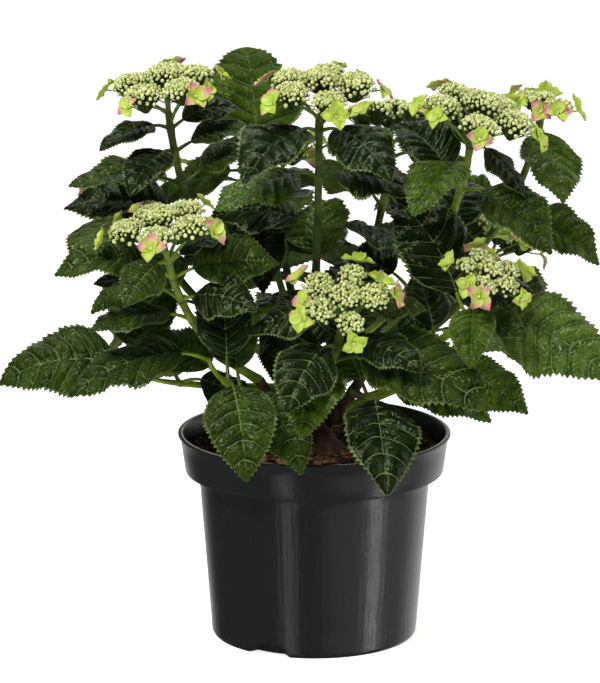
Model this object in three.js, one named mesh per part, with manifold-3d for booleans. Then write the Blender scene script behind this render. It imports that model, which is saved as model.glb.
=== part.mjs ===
// Lacecap hydrangea shrub in its nursery pot, as a scene graph of closed solids.
// Millimetres, +Z up. The origin is the middle of the pot's flat underside and -Y is the plant's front.
// Compass directions are degrees seen from above: 0 is +X (right), 90 is +Y (back), 270 is the front.
import * as THREE from "three";
import { mergeVertices } from "three/addons/utils/BufferGeometryUtils.js";
import Module from "manifold-3d";

const wasm = await Module();
wasm.setup();

// ---------------------------------------------------------------- driving dimensions

const GAP = 0.3; // clearance between neighbouring solids

const POT = {
  rimRadius: 115,
  height: 174,
  bandHeight: 33,
  bandFootRadius: 109,
  shoulderRadius: 97.5,
  footRadius: 86.5,
  wall: 2.2,
  lip: 2,
  footEdge: 2,
  sides: 40,
};
const NOTCH = { count: 3, first: 243, footWidth: 36, topWidth: 20, height: 9.5, depth: 9 };
const SOIL = { middle: 160, middleRadius: 34, edge: 156 };
const CROWN = {
  flareRadius: 27,
  flareHeight: 10,
  waistRadius: 17,
  shoulderRadius: 14,
  shoulderHeight: 34,
  capRadius: 10,
  height: 38,
  sides: 12,
};

// The woody canes: where each leaves the crown, and how long it is.
const BOUGH = { footRadius: 6.2, tipRadius: 4.8, sides: 6, steps: 3, lift: 0.25 };
const BOUGHS = {
  left: { turn: 188, lean: 52, length: 62, height: 16 },
  back_left: { turn: 142, lean: 38, length: 70, height: 26 },
  middle: { turn: 95, lean: 10, length: 58, height: 36 },
  front: { turn: 268, lean: 42, length: 56, height: 18 },
  right: { turn: 338, lean: 46, length: 66, height: 21 },
  back_right: { turn: 32, lean: 36, length: 72, height: 27 },
  back: { turn: 82, lean: 50, length: 62, height: 17 },
};
const STUBS = {
  right: { turn: 300, lean: 14, length: 44, height: 32 },
  left: { turn: 225, lean: 20, length: 30, height: 30 },
};

// The green shoots. tip is where the stem ends, below the flower head if the shoot has one.
// head is the radius of the bud corymb, tilt its slope and lean the way that it slopes.
// face is the way that the leaves turn their upper sides, and light how far they do.
// A pair is its share of the stem, the way that its first leaf points and its blade length.
// Its second leaf points the opposite way, or as many degrees further round as a fourth number says.
const SHOOTS = [
  {
    name: "middle_front", bough: "front", at: 1, tip: [24, -88, 298], face: 275, light: 1,
    head: 37, tilt: 46, lean: 272,
    pairs: [[0.36, 252, 84, 214], [0.62, 208, 86, 150], [0.9, 196, 74, 170], [0.42, 333, 122, 60]],
  },
  {
    name: "low_front_left", bough: "front", at: 0.62, tip: [-72, -82, 240], face: 275, light: 1.8,
    pairs: [[0.7, 306, 78], [0.97, 283, 88]],
  },
  {
    name: "low_front_right", bough: "right", at: 0.62, tip: [46, -78, 226], face: 272, light: 1.3,
    pairs: [[0.7, 20, 84, 130], [0.97, 260, 97, 86]],
  },
  {
    name: "low_right", bough: "right", at: 0.32, tip: [130, -46, 284], face: 272, light: 2,
    pairs: [[0.52, 350, 76], [0.97, 338, 114]],
  },
  {
    name: "right_front", bough: "right", at: 1, tip: [137, -66, 311], face: 272, light: 1,
    head: 32, tilt: 30, lean: 312,
    pairs: [[0.45, 296, 70], [0.66, 350, 60], [0.86, 262, 56, 120]],
  },
  {
    name: "upper_middle", bough: "middle", at: 1, tip: [4, 6, 444], face: 270, light: 0.7,
    head: 47, tilt: 14, lean: 272,
    pairs: [
      [0.34, 262, 92], [0.54, 318, 96], [0.77, 212, 90, 122],
      [0.94, 232, 88, 80], [0.97, 180, 84, 165],
    ],
  },
  {
    name: "low_far_left", bough: "back_left", at: 0.38, tip: [-142, -4, 222], face: 258, light: 0.9,
    pairs: [[0.6, 140, 72], [0.97, 187, 104, 265]],
  },
  {
    name: "low_left", bough: "left", at: 0.62, tip: [-88, -46, 248], face: 262, light: 0.9,
    pairs: [[0.6, 150, 72], [0.97, 190, 104]],
  },
  {
    name: "left_front", bough: "left", at: 1, tip: [-122, -58, 342], face: 262, light: 0.8,
    head: 45, tilt: 14, lean: 235,
    pairs: [[0.56, 190, 70], [0.7, 330, 66, 200], [0.84, 174, 84], [0.93, 225, 56]],
  },
  {
    name: "back_left", bough: "middle", at: 0.7, tip: [-46, 52, 385], face: 270, light: 1,
    pairs: [[0.3, 120, 92], [0.52, 200, 92], [0.76, 132, 92], [0.98, 96, 126, 112]],
  },
  {
    name: "upper_left", bough: "back_left", at: 1, tip: [-122, 20, 444], face: 258, light: 0.7,
    head: 46, tilt: 12, lean: 215,
    pairs: [[0.38, 206, 98], [0.58, 176, 92, 150], [0.74, 200, 84], [0.86, 246, 66, 110], [0.94, 190, 60]],
  },
  {
    name: "upper_right", bough: "back_right", at: 1, tip: [130, 2, 422], face: 275, light: 1,
    head: 51, tilt: 18, lean: 328,
    pairs: [[0.32, 352, 92], [0.54, 250, 88], [0.8, 312, 84], [0.91, 242, 78], [0.98, 296, 60]],
  },
  {
    name: "far_right", bough: "back_right", at: 0.72, tip: [192, 77, 427], face: 285, light: 1,
    head: 26, tilt: 10, lean: 350,
    pairs: [[0.36, 345, 80], [0.62, 350, 76], [0.96, 286, 78]],
  },
  {
    name: "back_right", bough: "back", at: 1, tip: [66, 126, 398], face: 80, light: 0.7,
    head: 42, tilt: 18, lean: 70,
    pairs: [[0.3, 50, 96], [0.52, 130, 96], [0.74, 60, 92], [0.93, 20, 66]],
  },
  {
    name: "back_middle", bough: "back", at: 0.7, tip: [-34, 150, 366], face: 95, light: 0.8,
    head: 42, tilt: 26, lean: 100,
    pairs: [[0.36, 100, 98], [0.6, 178, 96], [0.84, 95, 90]],
  },
  {
    name: "back_far_left", bough: "back_left", at: 0.7, tip: [-150, 98, 356], face: 140, light: 0.7,
    head: 40, tilt: 22, lean: 140,
    pairs: [[0.36, 150, 98], [0.6, 230, 84], [0.86, 140, 88]],
  },
  {
    name: "back_far_right", bough: "back_right", at: 0.45, tip: [152, 112, 300], face: 50, light: 0.7,
    head: 38, tilt: 26, lean: 40,
    pairs: [[0.36, 20, 96], [0.6, 110, 80], [0.86, 25, 90]],
  },
  {
    name: "low_back", bough: "back", at: 0.42, tip: [22, 104, 232], face: 85, light: 0.9,
    pairs: [[0.6, 120, 94], [0.97, 60, 98]],
  },
  {
    name: "low_back_left", bough: "back_left", at: 0.18, tip: [-84, 72, 236], face: 130, light: 0.9,
    pairs: [[0.6, 190, 92], [0.97, 130, 96]],
  },
];

// A stem first spreads and then rises: out and up are the shares of its way at its bend.
const STEM = { footRadius: 4.4, topRadius: 3.3, budRadius: 2, sides: 5, steps: 4, out: 0.84, up: 0.36 };
const LEAF = {
  widthShare: 0.66, // widest part over length
  thickness: 0.016, // over length, at the midrib
  petioleShare: 0.26,
  petioleRadius: 1.9,
  knee: 0.6, // share of the petiole that rises
  fold: 0.3,
  curl: 0.27,
  rise: 34,
  pitch: 18,
  bend: 40,
  follow: 0.75, // how much of the slope towards the light a blade takes up
  riseFollow: 0.3, // and how much of it its petiole takes up
  partnerShrink: 0.1, // how much shorter the second leaf of a pair is
  ringShares: [null, 0.03, 0.3, 0.66, 1], // the blade's rings; the first one is the petiole's root
  footDepth: 0.8, // half the blade's thickness at its foot, over the petiole's radius
};
const SAMPLES = { rows: 10, columns: 3, edge: 0.95, middle: 0.45, reach: 0.75, bough: 10, stem: 24 };
const HEAD = {
  ring: 5, // bud clusters round the middle one
  ringRadius: 0.61, // shares of the corymb's radius
  clusterRadius: 0.38,
  clusterHeight: 0.66,
  height: 0.66,
  dome: 0.14,
  rayRadius: 1.7,
  rayStep: 2.6,
  floretRadius: 12.5,
  floretReach: 0.3, // how far a floret's middle is outside its cluster, over its radius
  floretLean: 1.3, // how far a floret faces outwards, over how far it faces along the axis
  floretDrop: 0.1, // how far a floret hangs below its cluster's middle, over the cluster's radius
  floretThickness: 1.4,
  stalkRadius: 1.2,
  raySides: 3,
  middleSides: 4,
};
// How far what grows may differ from its rule, to either side.
const VARY = {
  clusterAngle: 9,
  clusterDistance: 0.07,
  clusterHeight: 0.05,
  clusterRadius: 0.1,
  floretDrop: 0.1,
  floretLean: 0.5,
  floretRadius: 0.14,
  leafTurn: 8,
  leafLength: 0.05,
  leafPitch: 7,
  petioleLength: 0.15,
  leafBend: 12,
  leafRoll: 9,
};
// How far a leaf keeps from what is already there, and how it is shifted, step by step, until it does.
const ROOM = {
  leaf: 9,
  stem: 8,
  bough: 10,
  floret: 3.5,
  cluster: 7,
  potRadius: 120,
  potHeight: 178,
  tries: 14,
  turn: 9,
  pitch: 6,
  shrink: 0.015,
};

const UP = new THREE.Vector3(0, 0, 1);

// ---------------------------------------------------------------- small tools

const radians = THREE.MathUtils.degToRad;
const compass = (degrees) => new THREE.Vector3(Math.cos(radians(degrees)), Math.sin(radians(degrees)), 0);
function towards(turn, elevation) {
  const angle = radians(elevation);
  return compass(turn).multiplyScalar(Math.cos(angle)).addScaledVector(UP, Math.sin(angle));
}

// A seeded source of numbers between -amount and amount, the same on every run.
function seededSpread(seed) {
  const multiplier = 48271;
  const modulus = 2147483647;
  let state = seed;
  return (amount) => {
    state = (state * multiplier) % modulus;
    return ((state / modulus) * 2 - 1) * amount;
  };
}
const seedOf = (name) => [...name].reduce((seed, letter) => (seed * 31 + letter.charCodeAt(0)) % 999983, 7);

// A closed three.js geometry as a solid.
function solidOf(geometry) {
  const bare = geometry.clone();
  bare.deleteAttribute("normal");
  bare.deleteAttribute("uv");
  const merged = mergeVertices(bare, 1e-4);
  const mesh = new wasm.Mesh({
    numProp: 3,
    vertProperties: new Float32Array(merged.attributes.position.array),
    triVerts: new Uint32Array(merged.index.array),
  });
  return new wasm.Manifold(mesh);
}

// A solid as a named three.js mesh.
function meshOf(name, solid, material) {
  const { numProp, vertProperties, triVerts } = solid.getMesh();
  const positions = new Float32Array((vertProperties.length / numProp) * 3);
  for (let i = 0; i < positions.length / 3; i++) {
    positions.set(vertProperties.subarray(i * numProp, i * numProp + 3), i * 3);
  }
  const geometry = new THREE.BufferGeometry();
  geometry.setAttribute("position", new THREE.BufferAttribute(positions, 3));
  geometry.setIndex(new THREE.BufferAttribute(triVerts, 1));
  geometry.computeVertexNormals();
  const mesh = new THREE.Mesh(geometry, material);
  mesh.name = name;
  return mesh;
}

const join = (solids) => solids.reduce((whole, solid) => whole.add(solid));

// Moves every vertex of a geometry to where place(vertex) says.
function reshape(geometry, place) {
  const position = geometry.attributes.position;
  const vertex = new THREE.Vector3();
  for (let i = 0; i < position.count; i++) {
    const moved = place(vertex.fromBufferAttribute(position, i));
    position.setXYZ(i, moved.x, moved.y, moved.z);
  }
  return geometry;
}

// A tapering limb along a curve: a cylinder whose rings are carried to the curve.
function limb(path, radiusAt, sides, steps) {
  const { normals, binormals } = path.computeFrenetFrames(steps, false);
  const cylinder = new THREE.CylinderGeometry(1, 1, 1, sides, steps);
  return reshape(cylinder, (vertex) => {
    const along = vertex.y + 0.5;
    const ring = Math.round(along * steps);
    const radius = radiusAt(along);
    return path
      .getPointAt(along)
      .addScaledVector(normals[ring], vertex.x * radius)
      .addScaledVector(binormals[ring], -vertex.z * radius);
  });
}

const taper = (foot, top) => (along) => foot + (top - foot) * along;
const straight = (from, to) => new THREE.LineCurve3(from, to);

// Places a geometry modelled about +Z at a point, with its +Z turned to an axis.
function aim(geometry, axis, point) {
  const turn = new THREE.Quaternion().setFromUnitVectors(UP, axis);
  return geometry.applyQuaternion(turn).translate(point.x, point.y, point.z);
}

// Closed solid of revolution about Z from [radius, height] pairs.
function turned(profile, sides) {
  const points = profile.map(([radius, height]) => new THREE.Vector2(radius, height));
  return new THREE.LatheGeometry(points, sides).rotateX(Math.PI / 2);
}

// ---------------------------------------------------------------- pot and growing medium

const bandFoot = POT.height - POT.bandHeight;

// The pot's wall from its floor to a rim, taken in all over by the given inset.
function potWall(inset, floor, rim) {
  return [
    [0, floor],
    [POT.footRadius - POT.footEdge - inset, floor],
    [POT.footRadius - inset, floor + POT.footEdge],
    [POT.shoulderRadius - inset, bandFoot + inset],
    [POT.bandFootRadius - inset, bandFoot + inset],
    ...rim,
  ];
}

// The moulded drain recesses in the foot, grown by the given margin.
function drainNotches(margin) {
  const { count, first, footWidth, topWidth, height, depth } = NOTCH;
  const outline = new THREE.Shape();
  outline.moveTo(-footWidth / 2 - margin, -POT.lip);
  outline.lineTo(footWidth / 2 + margin, -POT.lip);
  outline.lineTo(topWidth / 2 + margin, height + margin);
  outline.lineTo(-topWidth / 2 - margin, height + margin);
  outline.closePath();
  const block = new THREE.ExtrudeGeometry(outline, { depth: 3 * depth, bevelEnabled: false, steps: 1 });
  block.rotateX(Math.PI / 2).rotateZ(Math.PI / 2); // outline upright, facing along +X
  block.translate(POT.footRadius - depth - margin, 0, 0);
  const turns = Array.from({ length: count }, (_, i) => radians(first + (i * 360) / count));
  return join(turns.map((turn) => solidOf(block.clone().rotateZ(turn))));
}

function makePot() {
  const { rimRadius, height, lip, wall } = POT;
  const lippedRim = [
    [rimRadius - lip, height - lip],
    [rimRadius, height - lip],
    [rimRadius, height],
    [0, height],
  ];
  const openRim = [[rimRadius - lip - wall, height + 1], [0, height + 1]];
  const shell = solidOf(turned(potWall(0, 0, lippedRim), POT.sides)).subtract(drainNotches(0));
  const hollow = solidOf(turned(potWall(wall, wall, openRim), POT.sides));
  return shell.subtract(hollow.subtract(drainNotches(wall)));
}

function makeGrowingMedium() {
  const inset = POT.wall + GAP;
  const climb = (SOIL.edge - bandFoot) / POT.bandHeight;
  const edgeRadius = POT.bandFootRadius + (POT.rimRadius - POT.lip - POT.bandFootRadius) * climb - inset;
  const surface = [[edgeRadius, SOIL.edge], [SOIL.middleRadius, SOIL.middle], [0, SOIL.middle]];
  return solidOf(turned(potWall(inset, inset, surface), POT.sides)).subtract(drainNotches(inset));
}

// ---------------------------------------------------------------- crown and canes

const crownFoot = SOIL.middle + GAP;

// The crown's [radius, height above its cut] profile, grown by the given margin.
function crownProfile(margin) {
  const { flareRadius, flareHeight, waistRadius, shoulderRadius, shoulderHeight, capRadius, height } = CROWN;
  return [
    [0, -margin],
    [flareRadius + margin, -margin],
    [waistRadius + margin, flareHeight],
    [shoulderRadius + margin, shoulderHeight],
    [capRadius + margin, height + margin],
    [0, height + margin],
  ];
}

const crownSolid = (margin) => solidOf(turned(crownProfile(margin), CROWN.sides).translate(0, 0, crownFoot));

// A cane's path: out of the crown's side at its lean, then lifting towards the light.
function boughPath({ turn, lean, length, height }) {
  const heading = towards(turn, 90 - lean);
  const lift = length * BOUGH.lift;
  const start = compass(turn).multiplyScalar(CROWN.capRadius).addScaledVector(UP, crownFoot + height);
  const middle = start.clone().addScaledVector(heading, length / 2);
  const end = start.clone().addScaledVector(heading, length - lift).addScaledVector(UP, lift);
  return new THREE.QuadraticBezierCurve3(start, middle, end);
}

const boughSolid = (path, margin) =>
  solidOf(limb(path, taper(BOUGH.footRadius + margin, BOUGH.tipRadius + margin), BOUGH.sides, BOUGH.steps));

// ---------------------------------------------------------------- how the shoots grow

// A shoot's stem spreads out from its cane and bends up to its tip.
function stemPath(shoot) {
  const start = boughPath(BOUGHS[shoot.bough]).getPoint(shoot.at);
  const end = new THREE.Vector3(...shoot.tip);
  const way = end.clone().sub(start);
  const bend = start.clone().add(way.multiply(new THREE.Vector3(STEM.out, STEM.out, STEM.up)));
  return new THREE.QuadraticBezierCurve3(start, bend, end);
}

// Half the blade's width at a share of its length, over the half width.
const outline = (share) => Math.sin(Math.PI * share ** 0.72) ** 0.9;

// The leaf's own directions at a share of its length: ahead, side and normal.
function leafFrame(leaf, share) {
  const slope = leaf.pitch - leaf.bend * share;
  const out = compass(leaf.turn);
  const level = compass(leaf.turn + 90);
  const upward = towards(leaf.turn, slope + 90);
  const roll = radians(leaf.roll);
  return {
    ahead: out.multiplyScalar(Math.cos(radians(slope))).addScaledVector(UP, Math.sin(radians(slope))),
    side: level.clone().multiplyScalar(Math.cos(roll)).addScaledVector(upward, Math.sin(roll)),
    normal: upward.multiplyScalar(Math.cos(roll)).addScaledVector(level, -Math.sin(roll)),
  };
}

// The petiole rises from its root to a knee, and from there runs on at the blade's own pitch.
const petioleKnee = (leaf) =>
  leaf.root.clone().addScaledVector(towards(leaf.turn, leaf.rise), leaf.petiole * LEAF.knee);
const bladeFoot = (leaf) =>
  petioleKnee(leaf).addScaledVector(towards(leaf.turn, leaf.pitch), leaf.petiole * (1 - LEAF.knee));

// A point of the midrib, which is a circular arc that bends down from the blade's foot.
function midrib(leaf, share) {
  const pitch = radians(leaf.pitch);
  const bend = radians(leaf.bend);
  const radius = leaf.length / bend;
  const out = radius * (Math.sin(pitch) - Math.sin(pitch - bend * share));
  const up = radius * (Math.cos(pitch - bend * share) - Math.cos(pitch));
  return bladeFoot(leaf).addScaledVector(compass(leaf.turn), out).addScaledVector(UP, up);
}

// A point of the blade: share runs from foot to tip and across from -1 to 1, margin to margin.
function bladePoint(leaf, share, across) {
  const { side, normal } = leafFrame(leaf, share);
  const reach = (leaf.length * LEAF.widthShare * outline(share)) / 2;
  const crest = reach * (LEAF.fold * Math.abs(across) - LEAF.curl * across * across);
  return midrib(leaf, share).addScaledVector(side, reach * across).addScaledVector(normal, crest);
}

// Points spread over a leaf, close enough together to find what it would touch.
function leafSamples(leaf) {
  const samples = [bladeFoot(leaf), petioleKnee(leaf)];
  const { rows, columns, edge } = SAMPLES;
  for (let row = 1; row <= rows; row++) {
    for (let column = -columns; column <= columns; column++) {
      samples.push(bladePoint(leaf, row / rows, (column / columns) * edge));
    }
  }
  return samples;
}

// The flower head's own directions: its axis, and two across it.
function headFrame(shoot) {
  const axis = towards(shoot.lean, 90 - shoot.tilt);
  const first = compass(shoot.lean + 90);
  return { axis, first, second: new THREE.Vector3().crossVectors(axis, first) };
}

// A point of the head: distance from its axis, angle round it and height above its collar.
function headPoint(shoot, distance, angle, height) {
  const { axis, first, second } = headFrame(shoot);
  return new THREE.Vector3(...shoot.tip)
    .addScaledVector(axis, height)
    .addScaledVector(first, distance * Math.cos(radians(angle)))
    .addScaledVector(second, distance * Math.sin(radians(angle)));
}

// The bud clusters of a shoot's head, and the sterile florets that stand outside them.
function growHead(shoot, spread) {
  const size = shoot.head;
  const middle = headPoint(shoot, 0, 0, size * HEAD.height);
  const clusters = [{ centre: middle, radius: size * HEAD.clusterRadius }];
  const florets = [];
  const { axis } = headFrame(shoot);
  for (let i = 0; i < HEAD.ring; i++) {
    const angle = (i * 360) / HEAD.ring + spread(VARY.clusterAngle);
    const distance = size * HEAD.ringRadius * (1 + spread(VARY.clusterDistance));
    const height = size * (HEAD.height - HEAD.dome + spread(VARY.clusterHeight));
    const radius = size * HEAD.clusterRadius * (1 + spread(VARY.clusterRadius));
    clusters.push({ centre: headPoint(shoot, distance, angle, height), radius });
    const outward = headPoint(shoot, 1, angle, 0).sub(headPoint(shoot, 0, angle, 0));
    const beyond = distance + radius + HEAD.floretRadius * HEAD.floretReach;
    const low = height - radius * (HEAD.floretDrop + spread(VARY.floretDrop));
    const centre = headPoint(shoot, beyond, angle, low);
    const lean = HEAD.floretLean + spread(VARY.floretLean);
    const face = axis.clone().addScaledVector(outward, lean).normalize();
    florets.push({ centre, face, radius: HEAD.floretRadius * (1 + spread(VARY.floretRadius)) });
  }
  return { clusters, florets };
}

function headSamples(head) {
  const around = (parts, room) => parts.map((part) => ({ point: part.centre, room: part.radius + room }));
  return [...around(head.florets, ROOM.floret), ...around(head.clusters, ROOM.cluster)];
}

// The roll that turns a blade's upper side towards the light.
function rollToLight(turn, slope, light) {
  const aside = light.dot(compass(turn + 90));
  return THREE.MathUtils.radToDeg(Math.atan2(-aside, light.dot(towards(turn, slope + 90))));
}

// The leaf that the rule gives at a node, before it is shifted to find room.
function nominalLeaf(shoot, pair, partner, spread) {
  const [at, first, size, splay = 180] = shoot.pairs[pair];
  const turn = first + partner * splay + spread(VARY.leafTurn);
  const length = size * (1 - LEAF.partnerShrink * partner) * (1 + spread(VARY.leafLength));
  const light = compass(shoot.face).multiplyScalar(shoot.light).add(UP);
  const fall = THREE.MathUtils.radToDeg(Math.atan(shoot.light * Math.cos(radians(turn - shoot.face))));
  const pitch = LEAF.pitch - fall * LEAF.follow + spread(VARY.leafPitch);
  return {
    root: shoot.path.getPoint(at),
    turn,
    length,
    petiole: length * LEAF.petioleShare * (1 + spread(VARY.petioleLength)),
    rise: LEAF.rise - fall * LEAF.riseFollow,
    pitch,
    bend: LEAF.bend + spread(VARY.leafBend),
    roll: rollToLight(turn, pitch - LEAF.bend / 2, light) * LEAF.follow + spread(VARY.leafRoll),
  };
}

// The nominal leaf, shifted step by step to both sides of its place.
function shiftedLeaf(leaf, step) {
  const way = step % 2 ? 1 : -1;
  const far = Math.ceil(step / 2);
  return {
    ...leaf,
    turn: leaf.turn + way * far * ROOM.turn,
    pitch: leaf.pitch + (((step * 2) % 5) - 2) * ROOM.pitch * (step > 0),
    length: leaf.length * (1 - ROOM.shrink * step),
  };
}

const inPot = (point) => point.z < ROOM.potHeight && Math.hypot(point.x, point.y) < ROOM.potRadius;

// Whether a leaf keeps clear of the pot and of every other stem, head and leaf.
function isClear(leaf, owner, taken) {
  const samples = leafSamples(leaf);
  if (samples.some(inPot)) return false;
  const centre = bladePoint(leaf, SAMPLES.middle, 0);
  const reach = leaf.length * SAMPLES.reach;
  for (const thing of taken) {
    for (const { point, room } of thing.samples) {
      if (point.distanceTo(centre) > reach + room) continue;
      // Its own stem carries the petiole, so only the blade keeps clear of that.
      const first = thing.stemOf === owner ? 2 : 0;
      for (let i = first; i < samples.length; i++) {
        if (point.distanceToSquared(samples[i]) < room * room) return false;
      }
    }
  }
  return true;
}

// Grows every stem and head, then every leaf that finds room.
function growPlant() {
  const shoots = SHOOTS.map((shoot) => {
    return { ...shoot, path: stemPath(shoot), leaves: [], spread: seededSpread(seedOf(shoot.name)) };
  });
  const taken = [];
  const asRoom = (points, room) => points.map((point) => ({ point, room }));
  for (const bough of [...Object.values(BOUGHS), ...Object.values(STUBS)]) {
    taken.push({ samples: asRoom(boughPath(bough).getPoints(SAMPLES.bough), ROOM.bough) });
  }
  for (const shoot of shoots) {
    if (shoot.head) {
      shoot.corymb = growHead(shoot, shoot.spread);
      taken.push({ samples: headSamples(shoot.corymb) });
    }
    taken.push({ stemOf: shoot.name, samples: asRoom(shoot.path.getPoints(SAMPLES.stem), ROOM.stem) });
  }
  for (const shoot of shoots) {
    for (let pair = shoot.pairs.length - 1; pair >= 0; pair--) {
      for (const partner of [0, 1]) {
        const nominal = nominalLeaf(shoot, pair, partner, shoot.spread);
        for (let step = 0; step < ROOM.tries; step++) {
          const leaf = shiftedLeaf(nominal, step);
          if (!isClear(leaf, shoot.name, taken)) continue;
          shoot.leaves.push(leaf);
          taken.push({ samples: asRoom(leafSamples(leaf), ROOM.leaf) });
          break;
        }
      }
    }
  }
  return shoots;
}

// ---------------------------------------------------------------- a mass as one solid

// Petiole and blade in one: a four-sided cone whose rings are carried to the leaf.
function leafGeometry(leaf) {
  const steps = LEAF.ringShares.length - 1;
  const half = (leaf.length * LEAF.thickness) / 2;
  return reshape(new THREE.CylinderGeometry(0, 1, 1, 4, steps), (vertex) => {
    const ring = Math.round((vertex.y + 0.5) * steps);
    const radius = Math.max(1 - ring / steps, 1e-6);
    const across = Math.round(vertex.x / radius);
    const above = -Math.round(vertex.z / radius);
    if (ring === 0) {
      const { side, normal } = leafFrame(leaf, 0);
      return leaf.root
        .clone()
        .addScaledVector(side, across * LEAF.petioleRadius)
        .addScaledVector(normal, above * LEAF.petioleRadius);
    }
    const share = LEAF.ringShares[ring];
    const depth = ring === 1 ? LEAF.petioleRadius * LEAF.footDepth : half;
    if (ring === steps) return midrib(leaf, 1);
    return bladePoint(leaf, share, across).addScaledVector(leafFrame(leaf, share).normal, above * depth);
  });
}

// The corymb: the middle cluster stands on the stem, the others on rays that leave it in turn.
function headSolids(shoot) {
  const { clusters, florets } = shoot.corymb;
  const { axis } = headFrame(shoot);
  const collar = new THREE.Vector3(...shoot.tip);
  const rod = (from, to, radius, sides) => solidOf(limb(straight(from, to), taper(radius, radius), sides, 1));
  const solids = [];
  clusters.forEach(({ centre, radius }, i) => {
    const mound = new THREE.IcosahedronGeometry(radius, 0).scale(1, 1, HEAD.clusterHeight);
    solids.push(solidOf(aim(mound, axis, centre)));
    if (i) {
      const foot = collar.clone().addScaledVector(axis, HEAD.rayStep * (i - HEAD.ring));
      solids.push(rod(foot, centre, HEAD.rayRadius, HEAD.raySides));
    } else {
      const foot = collar.clone().addScaledVector(axis, -STEM.topRadius);
      solids.push(rod(foot, centre, STEM.topRadius, HEAD.middleSides));
    }
  });
  florets.forEach(({ centre, face, radius }, i) => {
    const plate = new THREE.OctahedronGeometry(radius, 0).scale(1, 1, HEAD.floretThickness / radius);
    solids.push(solidOf(aim(plate, face, centre)));
    solids.push(rod(clusters[i + 1].centre, centre, HEAD.stalkRadius, HEAD.raySides));
  });
  return solids;
}

function shootSolid(shoot) {
  const top = shoot.head ? STEM.topRadius : STEM.budRadius;
  const stem = solidOf(limb(shoot.path, taper(STEM.footRadius, top), STEM.sides, STEM.steps));
  const leaves = shoot.leaves.map((leaf) => solidOf(leafGeometry(leaf)));
  const head = shoot.head ? headSolids(shoot) : [];
  return join([stem, ...leaves, ...head]);
}

// ---------------------------------------------------------------- the scene graph

const potPlastic = new THREE.MeshStandardMaterial({ color: 0x1b1b1d, roughness: 0.32, metalness: 0 });
const bark = new THREE.MeshStandardMaterial({ color: 0x6b4027, roughness: 0.85, metalness: 0 });
const medium = new THREE.MeshStandardMaterial({ color: 0x3a2318, roughness: 0.95, metalness: 0 });
const foliage = new THREE.MeshStandardMaterial({ color: 0x1f3f17, roughness: 0.5, metalness: 0 });

const plant = new THREE.Group();
plant.add(meshOf("pot", makePot(), potPlastic));
plant.add(meshOf("growing_medium", makeGrowingMedium(), medium));
plant.add(meshOf("stem_crown", crownSolid(0), bark));

const grownCrown = crownSolid(GAP);
for (const [name, bough] of Object.entries(BOUGHS)) {
  plant.add(meshOf("bough_" + name, boughSolid(boughPath(bough), 0).subtract(grownCrown), bark));
}
for (const [name, stub] of Object.entries(STUBS)) {
  plant.add(meshOf("cut_stub_" + name, boughSolid(boughPath(stub), 0).subtract(grownCrown), bark));
}

for (const shoot of growPlant()) {
  const grownBough = boughSolid(boughPath(BOUGHS[shoot.bough]), GAP);
  plant.add(meshOf("foliage_" + shoot.name, shootSolid(shoot).subtract(grownBough), foliage));
}

export default plant;
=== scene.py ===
"""The looks of a lacecap hydrangea shrub in its nursery pot.

Lengths in this script are millimetres until a mesh is made, where MM turns them into metres.
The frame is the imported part's: +Z up, the origin under the middle of the pot, -Y to the plant's front.
Compass directions are degrees seen from above: 0 is +X (right), 90 is +Y (back), 270 is the front.
The shoots, leaves and flower heads grow by the same rule as the part's solids, carried finer here.
"""

import math

import bpy
import numpy as np
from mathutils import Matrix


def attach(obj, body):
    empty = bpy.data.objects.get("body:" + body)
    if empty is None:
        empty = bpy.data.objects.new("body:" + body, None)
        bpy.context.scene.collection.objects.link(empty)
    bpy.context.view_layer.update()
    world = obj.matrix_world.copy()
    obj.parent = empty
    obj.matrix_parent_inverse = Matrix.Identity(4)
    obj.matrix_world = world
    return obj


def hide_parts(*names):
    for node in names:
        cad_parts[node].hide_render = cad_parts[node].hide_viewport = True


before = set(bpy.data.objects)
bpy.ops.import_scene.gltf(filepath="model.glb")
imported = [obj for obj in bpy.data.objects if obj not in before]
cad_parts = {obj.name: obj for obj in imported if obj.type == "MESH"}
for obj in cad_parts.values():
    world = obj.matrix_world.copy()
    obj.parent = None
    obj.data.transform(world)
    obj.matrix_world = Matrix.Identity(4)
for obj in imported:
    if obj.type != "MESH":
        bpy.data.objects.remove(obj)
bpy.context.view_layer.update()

MM = 0.001
UP = np.array([0.0, 0.0, 1.0])

# ---- the part's own sizes, as in its source

GAP = 0.3
POT = dict(rim_radius=115, height=174, band_height=33, band_foot_radius=109, shoulder_radius=97.5,
           foot_radius=86.5, wall=2.2, lip=2)
NOTCH = dict(count=3, first=243, foot_width=36, top_width=20, height=9.5, depth=9)
SOIL = dict(middle=160, edge=156)
CROWN = dict(flare_radius=27, flare_height=10, waist_radius=17, shoulder_radius=14, shoulder_height=34,
             cap_radius=10, height=38)
BOUGH = dict(foot_radius=6.2, tip_radius=4.8, lift=0.25)
BOUGHS = {
    "left": dict(turn=188, lean=52, length=62, height=16),
    "back_left": dict(turn=142, lean=38, length=70, height=26),
    "middle": dict(turn=95, lean=10, length=58, height=36),
    "front": dict(turn=268, lean=42, length=56, height=18),
    "right": dict(turn=338, lean=46, length=66, height=21),
    "back_right": dict(turn=32, lean=36, length=72, height=27),
    "back": dict(turn=82, lean=50, length=62, height=17),
}
STUBS = {
    "right": dict(turn=300, lean=14, length=44, height=32),
    "left": dict(turn=225, lean=20, length=30, height=30),
}
CROWN_FOOT = SOIL["middle"] + GAP


def shoot(name, bough, at, tip, face, light, pairs, head=0, tilt=0, lean=0, tones=()):
    """One green shoot: its cane, its tip, the light that its leaves turn to, its leaf pairs and its head."""
    return dict(name=name, bough=bough, at=at, tip=np.array(tip, float), face=face, light=light,
                pairs=pairs, head=head, tilt=tilt, lean=lean, tones=tones)


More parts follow.
